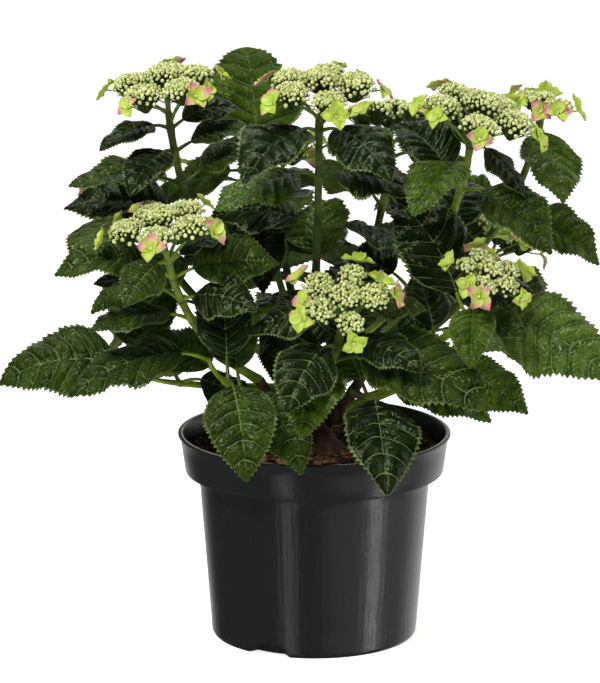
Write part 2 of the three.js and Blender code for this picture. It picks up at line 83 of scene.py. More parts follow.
# A pair is its share of the stem, the way that its first leaf points and its blade length. Its second leaf
# points the opposite way, or as many degrees further round as a fourth number says.
# tones names the greens of the pairs, from the first one listed: one for both leaves, or one for each.
SHOOTS = [
    shoot("middle_front", "front", 1, (24, -88, 298), 275, 1,
          [(0.36, 252, 84, 214), (0.62, 208, 86, 150), (0.9, 196, 74, 170), (0.42, 333, 122, 60)],
          37, 46, 272, tones=("mid dark", "dark", "dark deep", "deep dark")),
    shoot("low_front_left", "front", 0.62, (-72, -82, 240), 275, 1.8,
          [(0.7, 306, 78), (0.97, 283, 88)], tones=("deep", "deep dark")),
    shoot("low_front_right", "right", 0.62, (46, -78, 226), 272, 1.3,
          [(0.7, 20, 84, 130), (0.97, 260, 97, 86)], tones=("deep", "dark mid")),
    shoot("low_right", "right", 0.32, (130, -46, 284), 272, 2,
          [(0.52, 350, 76), (0.97, 338, 114)], tones=("mid dark", "pale dark")),
    shoot("right_front", "right", 1, (137, -66, 311), 272, 1,
          [(0.45, 296, 70), (0.66, 350, 60), (0.86, 262, 56, 120)], 32, 30, 312,
          tones=("dark", "deep", "mid deep")),
    shoot("upper_middle", "middle", 1, (4, 6, 444), 270, 0.7,
          [(0.34, 262, 92), (0.54, 318, 96), (0.77, 212, 90, 122), (0.94, 232, 88, 80), (0.97, 180, 84, 165)],
          47, 14, 272, tones=("mid pale", "dark", "pale dark", "dark", "dark")),
    shoot("low_far_left", "back_left", 0.38, (-142, -4, 222), 258, 0.9,
          [(0.6, 140, 72), (0.97, 187, 104, 265)], tones=("dark", "deep")),
    shoot("low_left", "left", 0.62, (-88, -46, 248), 262, 0.9,
          [(0.6, 150, 72), (0.97, 190, 104)], tones=("deep", "deep")),
    shoot("left_front", "left", 1, (-122, -58, 342), 262, 0.8,
          [(0.56, 190, 70), (0.7, 330, 66, 200), (0.84, 174, 84), (0.93, 225, 56)], 45, 14, 235,
          tones=("deep", "dark", "deep", "deep dark")),
    shoot("back_left", "middle", 0.7, (-46, 52, 385), 270, 1,
          [(0.3, 120, 92), (0.52, 200, 92), (0.76, 132, 92), (0.98, 96, 126, 112)],
          tones=("dark", "dark deep", "dark", "soft")),
    shoot("upper_left", "back_left", 1, (-122, 20, 444), 258, 0.7,
          [(0.38, 206, 98), (0.58, 176, 92, 150), (0.74, 200, 84), (0.86, 246, 66, 110), (0.94, 190, 60)],
          46, 12, 215, tones=("deep dark", "dark", "deep", "dark deep", "dark")),
    shoot("upper_right", "back_right", 1, (130, 2, 422), 275, 1,
          [(0.32, 352, 92), (0.54, 250, 88), (0.8, 312, 84), (0.91, 242, 78), (0.98, 296, 60)], 51, 18, 328,
          tones=("dark", "mid dark", "deep dark", "mid dark", "dark")),
    shoot("far_right", "back_right", 0.72, (192, 77, 427), 285, 1,
          [(0.36, 345, 80), (0.62, 350, 76), (0.96, 286, 78)], 26, 10, 350, tones=("deep", "mid", "mid")),
    shoot("back_right", "back", 1, (66, 126, 398), 80, 0.7,
          [(0.3, 50, 96), (0.52, 130, 96), (0.74, 60, 92), (0.93, 20, 66)], 42, 18, 70,
          tones=("deep", "dark", "mid", "dark")),
    shoot("back_middle", "back", 0.7, (-34, 150, 366), 95, 0.8,
          [(0.36, 100, 98), (0.6, 178, 96), (0.84, 95, 90)], 42, 26, 100, tones=("mid", "deep", "dark")),
    shoot("back_far_left", "back_left", 0.7, (-150, 98, 356), 140, 0.7,
          [(0.36, 150, 98), (0.6, 230, 84), (0.86, 140, 88)], 40, 22, 140, tones=("deep", "mid", "dark")),
    shoot("back_far_right", "back_right", 0.45, (152, 112, 300), 50, 0.7,
          [(0.36, 20, 96), (0.6, 110, 80), (0.86, 25, 90)], 38, 26, 40, tones=("mid", "dark", "deep")),
    shoot("low_back", "back", 0.42, (22, 104, 232), 85, 0.9,
          [(0.6, 120, 94), (0.97, 60, 98)], tones=("mid", "deep")),
    shoot("low_back_left", "back_left", 0.18, (-84, 72, 236), 130, 0.9,
          [(0.6, 190, 92), (0.97, 130, 96)], tones=("dark", "mid")),
]

STEM = dict(foot_radius=4.4, top_radius=3.3, bud_radius=2, out=0.84, up=0.36)
LEAF = dict(width_share=0.66, petiole_share=0.26, petiole_radius=1.9, knee=0.6, fold=0.3, curl=0.27,
            rise=34, pitch=18, bend=40, follow=0.75, rise_follow=0.3, partner_shrink=0.1)
HEAD = dict(ring=5, ring_radius=0.61, cluster_radius=0.38, height=0.66, dome=0.14, ray_radius=1.7,
            ray_step=2.6, floret_radius=12.5, floret_reach=0.3, floret_lean=1.3, floret_drop=0.1)
SAMPLES = dict(rows=10, columns=3, edge=0.95, bough=10, stem=24)
# How far what grows may differ from its rule, to either side.
VARY = dict(cluster_angle=9, cluster_distance=0.07, cluster_height=0.05, cluster_radius=0.1, floret_drop=0.1,
            floret_lean=0.5, floret_radius=0.14, leaf_turn=8, leaf_length=0.05, leaf_pitch=7,
            petiole_length=0.15, leaf_bend=12, leaf_roll=9)
# How far a leaf keeps from what is already there, and how it is shifted, step by step, until it does.
ROOM = dict(leaf=9, stem=8, bough=10, floret=3.5, cluster=7, pot_radius=120, pot_height=178,
            tries=14, turn=9, pitch=6, shrink=0.015)

# ---- sizes of what only the looks have

BLADE = dict(rows=48, rows_per_vein=6, thickness=0.36, vein_sweep=1.7, vein_curve=1.3)
BLADE_COLUMNS = (0, 0.08, 0.2, 0.33, 0.46, 0.6, 0.73, 0.85, 0.94, 1)
# Over the blade's length: how far its teeth stand out and lead, and how deep its relief is. The names with
# vary say how far the number before them strays, and phase how far a wave is shifted.
TOOTH = dict(out=0.018, lead=0.013, back=0.55, edge=0.9, first=0.03, last=0.985)
RELIEF = dict(quilt=0.03, wave=0.046, waves=13, waves_vary=4, fold=0.2, crinkle=0.0065, crinkles=4,
              along=46, along_vary=20, across=9, across_vary=4, phase=3.1)
LEAVES_PER_PIECE = 50
VEIN = dict(midrib_foot=1.15, midrib_tip=0.36, lateral_foot=0.56, lateral_tip=0.26, blade_length=95, step=3,
            columns=9, midrib_sides=6, lateral_sides=4)
PETIOLE = dict(steps=9, top_radius=1.25, end_radius=0.9, sides=9, end_row=2)
STEM_SKIN = dict(rows=36, sides=12, slimmer=0.4)
JOINT = dict(swell=0.7, spread=0.02, places=(-0.012, -0.005, 0.005), steps=(-0.05, 0.35, 0.05))
BUD = dict(radius=1.66, spacing=2.7, cover=2.2, sides=7, rings=5, stray=0.75, rise=0.9, reach=0.9,
           dome=0.56, sink=0.08, droop=0.16, radius_vary=0.24, stalk_foot=0.75, stalk_start=0.1,
           stalk_radii=(0.7, 0.6))
HEADS_PER_PIECE = 4
RAY = dict(rows=7, top_radius=1.1, inside=0.35, bow=0.12, sides=8)
FLORET_STALK = dict(rows=5, radius=0.6, sides=5, collar=0.25, foot_drop=4, bow=2)
LOW_FLORET = dict(angle_vary=16, distance=0.75, distance_vary=0.15, drop=1.6, drop_vary=0.5, lean=0.9,
                  lean_vary=0.3, size=0.9, size_vary=0.12)
SEPAL = dict(length=12.5, width=11, rows=9, half_columns=3, thickness=0.3, cup=0.25, size_vary=0.12,
             turn_vary=0.16, tilt=0.15, rim_lift=0.24, ripple=0.05, bud_radius=1.5, bud_height=1.2)
# The colour of each row of a sepal, from its foot to its tip, for three strengths of blush.
SEPAL_COLOURS = ((0,) * 9, (0, 0, 0, 0, 0, 0, 0, 1, 1), (0, 0, 0, 0, 1, 1, 2, 2, 2))
# The blush of the florets in turn, and the gaps between outer clusters that hold a lower floret.
FLORET_BLUSH = (2, 1, 0, 2, 1, 2, 0)
FLORET_GAPS = (2, 0)
# The shoots whose stems are lime all the way up; the others are a darker green, painted shade for the stems
# that stand in the leaves' shade.
LIME_STEMS = ("left_front", "low_left", "low_far_left", "upper_right", "right_front", "low_right")
# The shoots whose leaves have veins nearly as dark as the blade.
FAINT_VEINS = ("upper_left", "upper_middle", "upper_right", "right_front", "far_right", "back_left",
               "back_middle", "back_right")
# depth is how far a limb is thinner than the solid, which its ridges, relief high, make up for.
BARK = dict(rows=26, crown_sides=40, crown_depth=1, crown_relief=0.9, sides=18, depth=0.6, relief=0.45,
            waves=8, node_at=0.62, node_swell=0.5, node_spread=0.05)
# The cut face of a stub: how far it starts inside the stub, stands out of it and is narrower.
CUT = dict(inside=0.5, out=0.3, slimmer=0.9)
PEAT = dict(sides=120, rings=34, overlap=2.2, waves=9, wave_numbers=(0.12, 0.75), wave_height=0.45, grain=0.7,
            sink=0.2, calm_edge=6, calm_middle=8, skirt_taper=0.97, skirt_drop=12, bottom=140)
PEAT_EDGE = POT["band_foot_radius"] - POT["wall"] - GAP + PEAT["overlap"]
CHIPS = dict(count=2600, length=7.5, longest=14, width=3.6, thickness=1.4, spread=(0.05, 0.93), stray=0.45,
             tilt=0.8, lift=(-0.3, 1.6), size=(4, 0.2), least_size=0.25, stretch=(0.6, 1.2), margin=0.55,
             shares=(0.5, 0.3, 0.2))
CHIP_CORNERS = np.array([[x, y, z] for z in (-0.5, 0.5) for y in (-0.5, 0.5) for x in (-0.5, 0.5)])
CHIP_FACES = [[0, 2, 3, 1], [4, 5, 7, 6], [0, 1, 5, 4], [2, 6, 7, 3], [0, 4, 6, 2], [1, 3, 7, 5]]


# ---- directions and seeded numbers

def compass(degrees):
    """The level direction at a compass angle."""
    angle = math.radians(degrees)
    return np.array([math.cos(angle), math.sin(angle), 0.0])


def towards(turn, elevation):
    """The direction at a compass angle and so many degrees above level."""
    angle = math.radians(elevation)
    return compass(turn) * math.cos(angle) + UP * math.sin(angle)


def angles_round(count):
    """So many equal steps round a circle, in radians."""
    return np.arange(count) * 2 * np.pi / count


def unit(vector):
    return vector / np.linalg.norm(vector)


def seeded_spread(seed):
    """A seeded source of numbers between -amount and amount, the same as the part's source has."""
    multiplier, modulus = 48271, 2147483647
    state = seed

    def spread(amount):
        nonlocal state
        state = (state * multiplier) % modulus
        return ((state / modulus) * 2 - 1) * amount

    return spread


def seed_of(name):
    """The seed that belongs to a name."""
    seed = 7
    for letter in name:
        seed = (seed * 31 + ord(letter)) % 999983
    return seed


def bezier(start, bend, end, share):
    """Points of a quadratic curve; share is a number or an array of numbers."""
    share = np.asarray(share, float)[..., None]
    return (1 - share) ** 2 * start + 2 * (1 - share) * share * bend + share**2 * end


# ---- the growth rule

def bough_curve(bough):
    """The three points of a cane's curve: it leans out of the crown and rises at its end."""
    heading = towards(bough["turn"], 90 - bough["lean"])
    lift = bough["length"] * BOUGH["lift"]
    start = compass(bough["turn"]) * CROWN["cap_radius"] + UP * (CROWN_FOOT + bough["height"])
    middle = start + heading * bough["length"] / 2
    end = start + heading * (bough["length"] - lift) + UP * lift
    return start, middle, end


def stem_curve(one):
    """The three points of a shoot's curve, from its place on the cane to its tip."""
    start = bezier(*bough_curve(BOUGHS[one["bough"]]), one["at"])
    way = one["tip"] - start
    return start, start + way * np.array([STEM["out"], STEM["out"], STEM["up"]]), one["tip"]


def outline(share):
    """Half the blade's width at a share of its length, over the half width."""
    return np.sin(np.pi * share**0.72).clip(0) ** 0.9


def leaf_frame(leaf, share):
    """The leaf's own directions at shares of its length: side and normal, one row for each share."""
    slope = np.radians(leaf["pitch"] - leaf["bend"] * share)[..., None]
    out, level = compass(leaf["turn"]), compass(leaf["turn"] + 90)
    upward = UP * np.cos(slope) - out * np.sin(slope)
    roll = math.radians(leaf["roll"])
    side = level * math.cos(roll) + upward * math.sin(roll)
    normal = upward * math.cos(roll) - level * math.sin(roll)
    return side, normal


def petiole_knee(leaf):
    """Where the petiole bends."""
    return leaf["root"] + towards(leaf["turn"], leaf["rise"]) * leaf["petiole"] * LEAF["knee"]


def blade_foot(leaf):
    """Where the petiole ends and the blade begins."""
    return petiole_knee(leaf) + towards(leaf["turn"], leaf["pitch"]) * leaf["petiole"] * (1 - LEAF["knee"])


def midrib(leaf, share):
    """Points of the midrib, which is a circular arc that bends down from the blade's foot."""
    pitch, bend = math.radians(leaf["pitch"]), math.radians(leaf["bend"])
    radius = leaf["length"] / bend
    out = radius * (math.sin(pitch) - np.sin(pitch - bend * share))
    up = radius * (np.cos(pitch - bend * share) - math.cos(pitch))
    return blade_foot(leaf) + out[..., None] * compass(leaf["turn"]) + up[..., None] * UP


def blade_point(leaf, share, across):
    """Points of the blade: share runs from foot to tip and across from -1 to 1, margin to margin."""
    share, across = np.broadcast_arrays(np.asarray(share, float), np.asarray(across, float))
    side, normal = leaf_frame(leaf, share)
    reach = leaf["length"] * LEAF["width_share"] * outline(share) / 2
    crest = reach * (LEAF["fold"] * abs(across) - LEAF["curl"] * across**2)
    return midrib(leaf, share) + (reach * across)[..., None] * side + crest[..., None] * normal


def leaf_samples(leaf):
    """The points that stand for a leaf where it looks for room."""
    share = np.arange(1, SAMPLES["rows"] + 1)[:, None] / SAMPLES["rows"]
    half = SAMPLES["columns"]
    across = np.arange(-half, half + 1) / half * SAMPLES["edge"]
    blade = blade_point(leaf, share, across).reshape(-1, 3)
    return np.vstack([blade_foot(leaf), petiole_knee(leaf), blade])


def head_frame(one):
    """The axis of a shoot's head, and two directions square to it."""
    axis = towards(one["lean"], 90 - one["tilt"])
    first = compass(one["lean"] + 90)
    return axis, first, np.cross(axis, first)


def head_point(one, distance, angle, height):
    """A point by its distance from the head's axis, its angle round it and its height above the tip."""
    axis, first, second = head_frame(one)
    turn = math.radians(angle)
    return one["tip"] + axis * height + first * distance * math.cos(turn) + second * distance * math.sin(turn)


def outward(one, angle):
    """The direction from the head's axis to an angle round it."""
    return head_point(one, 1, angle, 0) - head_point(one, 0, angle, 0)


def grow_head(one, spread):
    """The bud clusters of a shoot's head, and the sterile florets that stand outside them."""
    size = one["head"]
    middle = head_point(one, 0, 0, size * HEAD["height"])
    clusters = [dict(centre=middle, radius=size * HEAD["cluster_radius"])]
    florets = []
    axis = head_frame(one)[0]
    for i in range(HEAD["ring"]):
        angle = i * 360 / HEAD["ring"] + spread(VARY["cluster_angle"])
        distance = size * HEAD["ring_radius"] * (1 + spread(VARY["cluster_distance"]))
        height = size * (HEAD["height"] - HEAD["dome"] + spread(VARY["cluster_height"]))
        radius = size * HEAD["cluster_radius"] * (1 + spread(VARY["cluster_radius"]))
        clusters.append(dict(centre=head_point(one, distance, angle, height), radius=radius))
        beyond = distance + radius + HEAD["floret_radius"] * HEAD["floret_reach"]
        low = height - radius * (HEAD["floret_drop"] + spread(VARY["floret_drop"]))
        face = unit(axis + outward(one, angle) * (HEAD["floret_lean"] + spread(VARY["floret_lean"])))
        florets.append(dict(centre=head_point(one, beyond, angle, low), face=face,
                            radius=HEAD["floret_radius"] * (1 + spread(VARY["floret_radius"]))))
    return clusters, florets


def nominal_leaf(one, pair, partner, spread):
    """The leaf that the rule gives at a node, before it is shifted to find room."""
    at, first, size, splay = (*one["pairs"][pair], 180)[:4]
    turn = first + partner * splay + spread(VARY["leaf_turn"])
    length = size * (1 - LEAF["partner_shrink"] * partner) * (1 + spread(VARY["leaf_length"]))
    light = compass(one["face"]) * one["light"] + UP
    fall = math.degrees(math.atan(one["light"] * math.cos(math.radians(turn - one["face"]))))
    pitch = LEAF["pitch"] - fall * LEAF["follow"] + spread(VARY["leaf_pitch"])
    petiole = length * LEAF["petiole_share"] * (1 + spread(VARY["petiole_length"]))
    bend = LEAF["bend"] + spread(VARY["leaf_bend"])
    aside = light @ compass(turn + 90)
    roll = math.degrees(math.atan2(-aside, light @ towards(turn, pitch - LEAF["bend"] / 2 + 90)))
    return dict(root=bezier(*one["curve"], at), turn=turn, length=length, petiole=petiole,
                rise=LEAF["rise"] - fall * LEAF["rise_follow"], pitch=pitch, bend=bend,
                roll=roll * LEAF["follow"] + spread(VARY["leaf_roll"]), pair=pair, partner=partner)


def shifted_leaf(leaf, step):
    """The nominal leaf, shifted step by step to both sides of its place."""
    way = 1 if step % 2 else -1
    far = math.ceil(step / 2)
    nod = ((step * 2) % 5 - 2) * ROOM["pitch"] if step else 0
    return dict(leaf, turn=leaf["turn"] + way * far * ROOM["turn"], pitch=leaf["pitch"] + nod,
                length=leaf["length"] * (1 - ROOM["shrink"] * step))


def is_clear(leaf, owner, taken):
    """Whether a leaf keeps clear of the pot and of every other stem, head and leaf."""
    samples = leaf_samples(leaf)
    low = samples[:, 2] < ROOM["pot_height"]
    if (low & (np.hypot(samples[:, 0], samples[:, 1]) < ROOM["pot_radius"])).any():
        return False
    for stem_of, points, room in taken:
        # Its own stem carries the petiole, so only the blade keeps clear of that.
        first = 2 if stem_of == owner else 0
        apart = ((samples[first:, None, :] - points[None, :, :]) ** 2).sum(2)
        if (apart < room[None, :] ** 2).any():
            return False
    return True


def grow_plant():
    """Grows every stem and head, then every leaf that finds room."""
    taken = []

    def take(points, room, stem_of=None):
        points = np.asarray(points, float).reshape(-1, 3)
        taken.append((stem_of, points, np.broadcast_to(np.asarray(room, float), len(points))))

    for bough in [*BOUGHS.values(), *STUBS.values()]:
        take(bezier(*bough_curve(bough), np.linspace(0, 1, SAMPLES["bough"] + 1)), ROOM["bough"])
    for one in SHOOTS:
        one["curve"] = stem_curve(one)
        one["spread"] = seeded_spread(seed_of(one["name"]))
        one["leaves"] = []
        if one["head"]:
            one["clusters"], one["florets"] = grow_head(one, one["spread"])
            around = [(f["centre"], f["radius"] + ROOM["floret"]) for f in one["florets"]]
            around += [(c["centre"], c["radius"] + ROOM["cluster"]) for c in one["clusters"]]
            take([centre for centre, _ in around], [room for _, room in around])
        take(bezier(*one["curve"], np.linspace(0, 1, SAMPLES["stem"] + 1)), ROOM["stem"], one["name"])
    for one in SHOOTS:
        for pair in reversed(range(len(one["pairs"]))):
            for partner in (0, 1):
                nominal = nominal_leaf(one, pair, partner, one["spread"])
                for step in range(ROOM["tries"]):
                    leaf = shifted_leaf(nominal, step)
                    if is_clear(leaf, one["name"], taken):
                        one["leaves"].append(leaf)
                        take(leaf_samples(leaf), ROOM["leaf"])
                        break


# ---- meshes from gathered shapes

class Batch:
    """The points and faces of one piece, gathered from many small shapes."""

    def __init__(self):
        self.points, self.faces, self.slots, self.count = [], [], [], 0

    def add(self, points, faces, slot=0):
        """Adds a shape: faces holds one row of point numbers for each, and slot is its material's number."""
        faces = np.asarray(faces, int)
        self.points.append(np.asarray(points, float).reshape(-1, 3))
        self.faces.append(faces + self.count)
        self.slots.append(np.broadcast_to(slot, len(faces)))
        self.count += len(self.points[-1])


def add_object(name, data):
    """A new object of the scene with this mesh, light or camera."""
    made = bpy.data.objects.new(name, data)
    bpy.context.scene.collection.objects.link(made)
    return made


def make_piece(name, batch, colours, nodes=(), smooth=True):
    """Makes one piece of the object from a batch; it rides on the root body and stands for the nodes."""
    mesh = bpy.data.meshes.new(name)
    points = np.concatenate(batch.points) * MM
    mesh.vertices.add(len(points))
    mesh.vertices.foreach_set("co", points.astype(np.float32).ravel())
    corners = np.concatenate([faces.ravel() for faces in batch.faces])
    sizes = np.concatenate([np.full(len(faces), faces.shape[1]) for faces in batch.faces])
    mesh.loops.add(len(corners))
    mesh.loops.foreach_set("vertex_index", corners.astype(np.int32))
    mesh.polygons.add(len(sizes))
    mesh.polygons.foreach_set("loop_start", (np.cumsum(sizes) - sizes).astype(np.int32))
    mesh.polygons.foreach_set("material_index", np.concatenate(batch.slots).astype(np.int32))
    mesh.polygons.foreach_set("use_smooth", np.full(len(sizes), smooth))
    mesh.update(calc_edges=True)
    for colour in colours:
        mesh.materials.append(MATERIALS[colour])
    piece = add_object(name, mesh)
    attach(piece, "root")
    if nodes:
        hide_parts(*nodes)


def grid_faces(rows, columns, closed=False):
    """Quads between the points of a grid, whose columns may close into a ring."""
    row = np.arange(rows - 1)[:, None] * columns
    column = np.arange(columns if closed else columns - 1)[None, :]
    beside = (column + 1) % columns
    quads = np.stack([row + column, row + beside, row + columns + beside, row + columns + column], -1)
    return quads.reshape(-1, 4)


def along(points):
    """The directions of a line of points."""
    way = np.gradient(points, axis=0)
    return way / np.linalg.norm(way, axis=1)[:, None]


def tube(batch, points, radii, sides, slot=0, relief=None):
    """A closed tapering tube along a line of points; relief(angle, share) is added to its radius."""
    ahead = along(points)
    rows = len(points)
    radii = np.broadcast_to(np.asarray(radii, float), rows)
    side = np.zeros((rows, 3))
    guess = compass(17) if abs(ahead[0] @ UP) > 0.8 else UP
    for i in range(rows):
        guess = guess - ahead[i] * (guess @ ahead[i])
        side[i] = guess = unit(guess)
    other = np.cross(ahead, side)
    angle = angles_round(sides)
    radius = np.repeat(radii[:, None], sides, 1)
    if relief is not None:
        radius = radius + relief(angle[None, :], np.linspace(0, 1, rows)[:, None])
    ring = np.cos(angle)[None, :, None] * side[:, None] + np.sin(angle)[None, :, None] * other[:, None]
    skin = points[:, None] + radius[..., None] * ring
    batch.add(skin, grid_faces(rows, sides, closed=True), slot)
    step = np.arange(sides)
    beside = (step + 1) % sides
    for end, corners in ((0, (beside, step)), (-1, (step, beside))):
        fan = np.stack([*corners, np.full(sides, sides)], 1)
        batch.add(np.vstack([skin[end], points[end]]), fan, slot)


def ball(sides, rings):
    """A unit sphere's points, and its faces as triangles and quads."""
    lift = np.pi * (np.arange(1, rings) / rings - 0.5)
    angle = angles_round(sides)
    ring = np.stack([np.cos(lift)[:, None] * np.cos(angle), np.cos(lift)[:, None] * np.sin(angle),
                     np.sin(lift)[:, None] * np.ones(sides)], -1).reshape(-1, 3)
    points = np.vstack([ring, -UP, UP])
    step = np.arange(sides)
    beside = (step + 1) % sides
    top = (rings - 2) * sides
    caps = np.vstack([
        np.stack([beside, step, np.full(sides, len(ring))], 1),
        np.stack([top + step, top + beside, np.full(sides, len(ring) + 1)], 1),
    ])
    return points, grid_faces(rings - 1, sides, closed=True), caps


BUD_BALL = ball(BUD["sides"], BUD["rings"])


def turned_about(axis):
    """A rotation matrix, in rows, that takes +Z to the axis."""
    side = unit(np.cross(axis, UP + 0.1 * compass(40)))
    return np.stack([side, np.cross(axis, side), axis])


# ---- materials

# The tint of the light that a leaf mirrors.
LEAF_GLOSS = (0.75, 1.0, 0.5)
# The greens of the leaves: three strengths of mottle and the net of fine veins, then their gloss and puckers.
LEAF_TONES = {
    "dark": dict(shade=(0.002, 0.0035, 0.001), body=(0.0055, 0.0095, 0.0015), lively=(0.018, 0.028, 0.005),
                 net=(0.016, 0.027, 0.005), roughness=0.33, specular=0.24, pucker=0.0009),
    "deep": dict(shade=(0.01, 0.02, 0.001), body=(0.024, 0.045, 0.003), lively=(0.05, 0.086, 0.009),
                 net=(0.05, 0.088, 0.013), roughness=0.34, specular=0.25, pucker=0.002),
    "mid": dict(shade=(0.018, 0.039, 0.001), body=(0.042, 0.083, 0.003), lively=(0.076, 0.138, 0.009),
                net=(0.078, 0.138, 0.016), roughness=0.34, specular=0.25, pucker=0.002),
    "soft": dict(shade=(0.013, 0.028, 0.001), body=(0.033, 0.064, 0.003), lively=(0.066, 0.115, 0.009),
                 net=(0.066, 0.115, 0.015), roughness=0.6, specular=0.07, pucker=0.002),
    "pale": dict(shade=(0.024, 0.049, 0.003), body=(0.06, 0.11, 0.009), lively=(0.12, 0.185, 0.024),
                 net=(0.13, 0.205, 0.043), roughness=0.32, specular=0.42, pucker=0.0022),
}
UNDERSIDE = dict(shade=(0.05, 0.085, 0.01), body=(0.085, 0.135, 0.02), lively=(0.13, 0.19, 0.04),
                 net=(0.15, 0.21, 0.05), roughness=0.6, specular=0.25, pucker=0.002)
GREEN_PARTS = ("shade", "body", "lively", "net")
# How bright a blade is where it dips to its lateral veins, over the rest of it: painted shade, the same
# greens darkened, that stands in for the shade in those dips.
PAINTED_VALLEY_SHADE = 0.62
# The pattern of cells between a leaf's finest veins: cells a metre, and how wide and strong their edges are.
LEAF_NET = dict(scale=210, inner=0.02, outer=0.1, strength=0.5, relief=0.8)
# The smooth skins: colours from the dark to the light end of a noise's range, then how the skin is finished.
SEPAL_SKIN = dict(roughness=0.5, scale=160)
CHIP_SKIN = dict(roughness=0.85, scale=300, bump=0.0006)
SKINS = {
    # The edge is lighter than the blade: a painted highlight along the margin and its teeth.
    "leaf_edge_painted_highlight": dict(colours=[(0.05, 0.09, 0.008), (0.11, 0.17, 0.03)], places=(0.3, 0.7), roughness=0.45),
    "leaf_vein": dict(colours=[(0.12, 0.19, 0.035), (0.25, 0.34, 0.1)], places=(0.3, 0.7), roughness=0.5),
    "dark_vein": dict(colours=[(0.04, 0.07, 0.012), (0.1, 0.15, 0.035)], places=(0.3, 0.7), roughness=0.5),
    "green_stem": dict(colours=[(0.1, 0.17, 0.006), (0.17, 0.26, 0.01), (0.26, 0.36, 0.03)],
                       places=(0.3, 0.5, 0.72), roughness=0.36),
    # A darker copy of the green stem: painted shade for the stems and petioles that stand in the leaves'
    # shade.
    "painted_shade_stem": dict(colours=[(0.035, 0.065, 0.003), (0.065, 0.115, 0.005), (0.12, 0.19, 0.015)],
                      places=(0.3, 0.5, 0.72), roughness=0.4),
    "stem_joint": dict(colours=[(0.07, 0.05, 0.03), (0.14, 0.17, 0.05)], places=(0.35, 0.6), roughness=0.55),
    "flower_bud": dict(colours=[(0.3, 0.39, 0.05), (0.92, 0.94, 0.46)], places=(0.38, 0.6), roughness=0.27,
                       scale=420, bump=0.0001, specular=0.8),
    "flower_ray": dict(colours=[(0.1, 0.18, 0.02), (0.18, 0.28, 0.05)], roughness=0.5, scale=200),
    # The bud stalks are dark: painted shade in the deep gaps between the buds.
    "bud_stalk_painted_shade": dict(colours=[(0.03, 0.06, 0.006), (0.07, 0.12, 0.015)], roughness=0.7, scale=200),
    "sepal_lime": dict(colours=[(0.42, 0.58, 0.05), (0.6, 0.72, 0.12)], **SEPAL_SKIN),
    "sepal_blush": dict(colours=[(0.62, 0.42, 0.2), (0.72, 0.52, 0.3)], **SEPAL_SKIN),
    "sepal_pink": dict(colours=[(0.7, 0.2, 0.25), (0.78, 0.36, 0.36)], **SEPAL_SKIN),
    "cut_wood": dict(colours=[(0.12, 0.06, 0.03), (0.3, 0.19, 0.1)], roughness=0.8),
    "bark_chip_dark": dict(colours=[(0.012, 0.007, 0.005), (0.04, 0.02, 0.012)], **CHIP_SKIN),
    "bark_chip_brown": dict(colours=[(0.06, 0.025, 0.012), (0.14, 0.06, 0.025)], **CHIP_SKIN),
    "bark_chip_tan": dict(CHIP_SKIN, colours=[(0.2, 0.09, 0.035), (0.42, 0.22, 0.09)], roughness=0.8),
}
# The rough skins, whose colours and relief come from one grain, which holds the settings of a noise.
WOOD_SKIN = dict(colour=(0.12, 0.06, 0.035), roughness=0.8, specular=0.3, relief=0.002,
                 grain=dict(scale=160, detail=5, roughness=0.6, stretch=(1, 1, 0.25)),
                 colours=[(0.022, 0.011, 0.007), (0.07, 0.033, 0.02), (0.16, 0.085, 0.05)],
                 places=(0.3, 0.55, 0.75))
PEAT_SKIN = dict(colour=(0.02, 0.012, 0.008), roughness=0.95, specular=0.2, relief=0.003,
                 grain=dict(scale=420, detail=6, roughness=0.7),
                 colours=[(0.006, 0.004, 0.003), (0.03, 0.016, 0.01), (0.1, 0.045, 0.02)],
                 places=(0.35, 0.6, 0.78))


def new_material(name, colour, roughness, specular):
    """A principled material whose constant values stand on the shader's own sockets."""
    material = bpy.data.materials.new(name)
    material.use_nodes = True
    shader = material.node_tree.nodes["Principled BSDF"]
    shader.inputs["Base Color"].default_value = (*colour, 1)
    shader.inputs["Roughness"].default_value = roughness
    shader.inputs["Specular IOR Level"].default_value = specular
    return material, material.node_tree, shader


def noise(tree, scale, detail=3, roughness=0.55, stretch=(1, 1, 1)):
    """A noise in the object's own coordinates, in metres."""
    place = tree.nodes.new("ShaderNodeTexCoord")
    mapping = tree.nodes.new("ShaderNodeMapping")
    mapping.inputs["Scale"].default_value = stretch
    texture = tree.nodes.new("ShaderNodeTexNoise")
    texture.inputs["Scale"].default_value = scale
    texture.inputs["Detail"].default_value = detail
    texture.inputs["Roughness"].default_value = roughness
    tree.links.new(place.outputs["Object"], mapping.inputs["Vector"])
    tree.links.new(mapping.outputs["Vector"], texture.inputs["Vector"])
    return texture.outputs["Fac"]


def colour_ramp(tree, factor, colours, places):
    """Colours that blend into one another, each at its place of a factor's range."""
    ramp = tree.nodes.new("ShaderNodeValToRGB")
    elements = ramp.color_ramp.elements
    while len(elements) < len(colours):
        elements.new(0.5)
    for element, colour, place in zip(elements, colours, places):
        element.position = place
        element.color = (*colour, 1)
    tree.links.new(factor, ramp.inputs["Fac"])
    return ramp.outputs["Color"]


def add_bump(tree, shader, height, distance, strength=1.0):
    """Relief from a height, on the shader's normal."""
    bump = tree.nodes.new("ShaderNodeBump")
    bump.inputs["Distance"].default_value = distance
    bump.inputs["Strength"].default_value = strength
    tree.links.new(height, bump.inputs["Height"])
    tree.links.new(bump.outputs["Normal"], shader.inputs["Normal"])
    return bump


def cell_edges(tree, scale):
    """The distance to the nearest edge in a pattern of small cells, in the object's own coordinates."""
    place = tree.nodes.new("ShaderNodeTexCoord")
    cells = tree.nodes.new("ShaderNodeTexVoronoi")
    cells.feature = "DISTANCE_TO_EDGE"
    cells.inputs["Scale"].default_value = scale
    tree.links.new(place.outputs["Object"], cells.inputs["Vector"])
    return cells.outputs["Distance"]


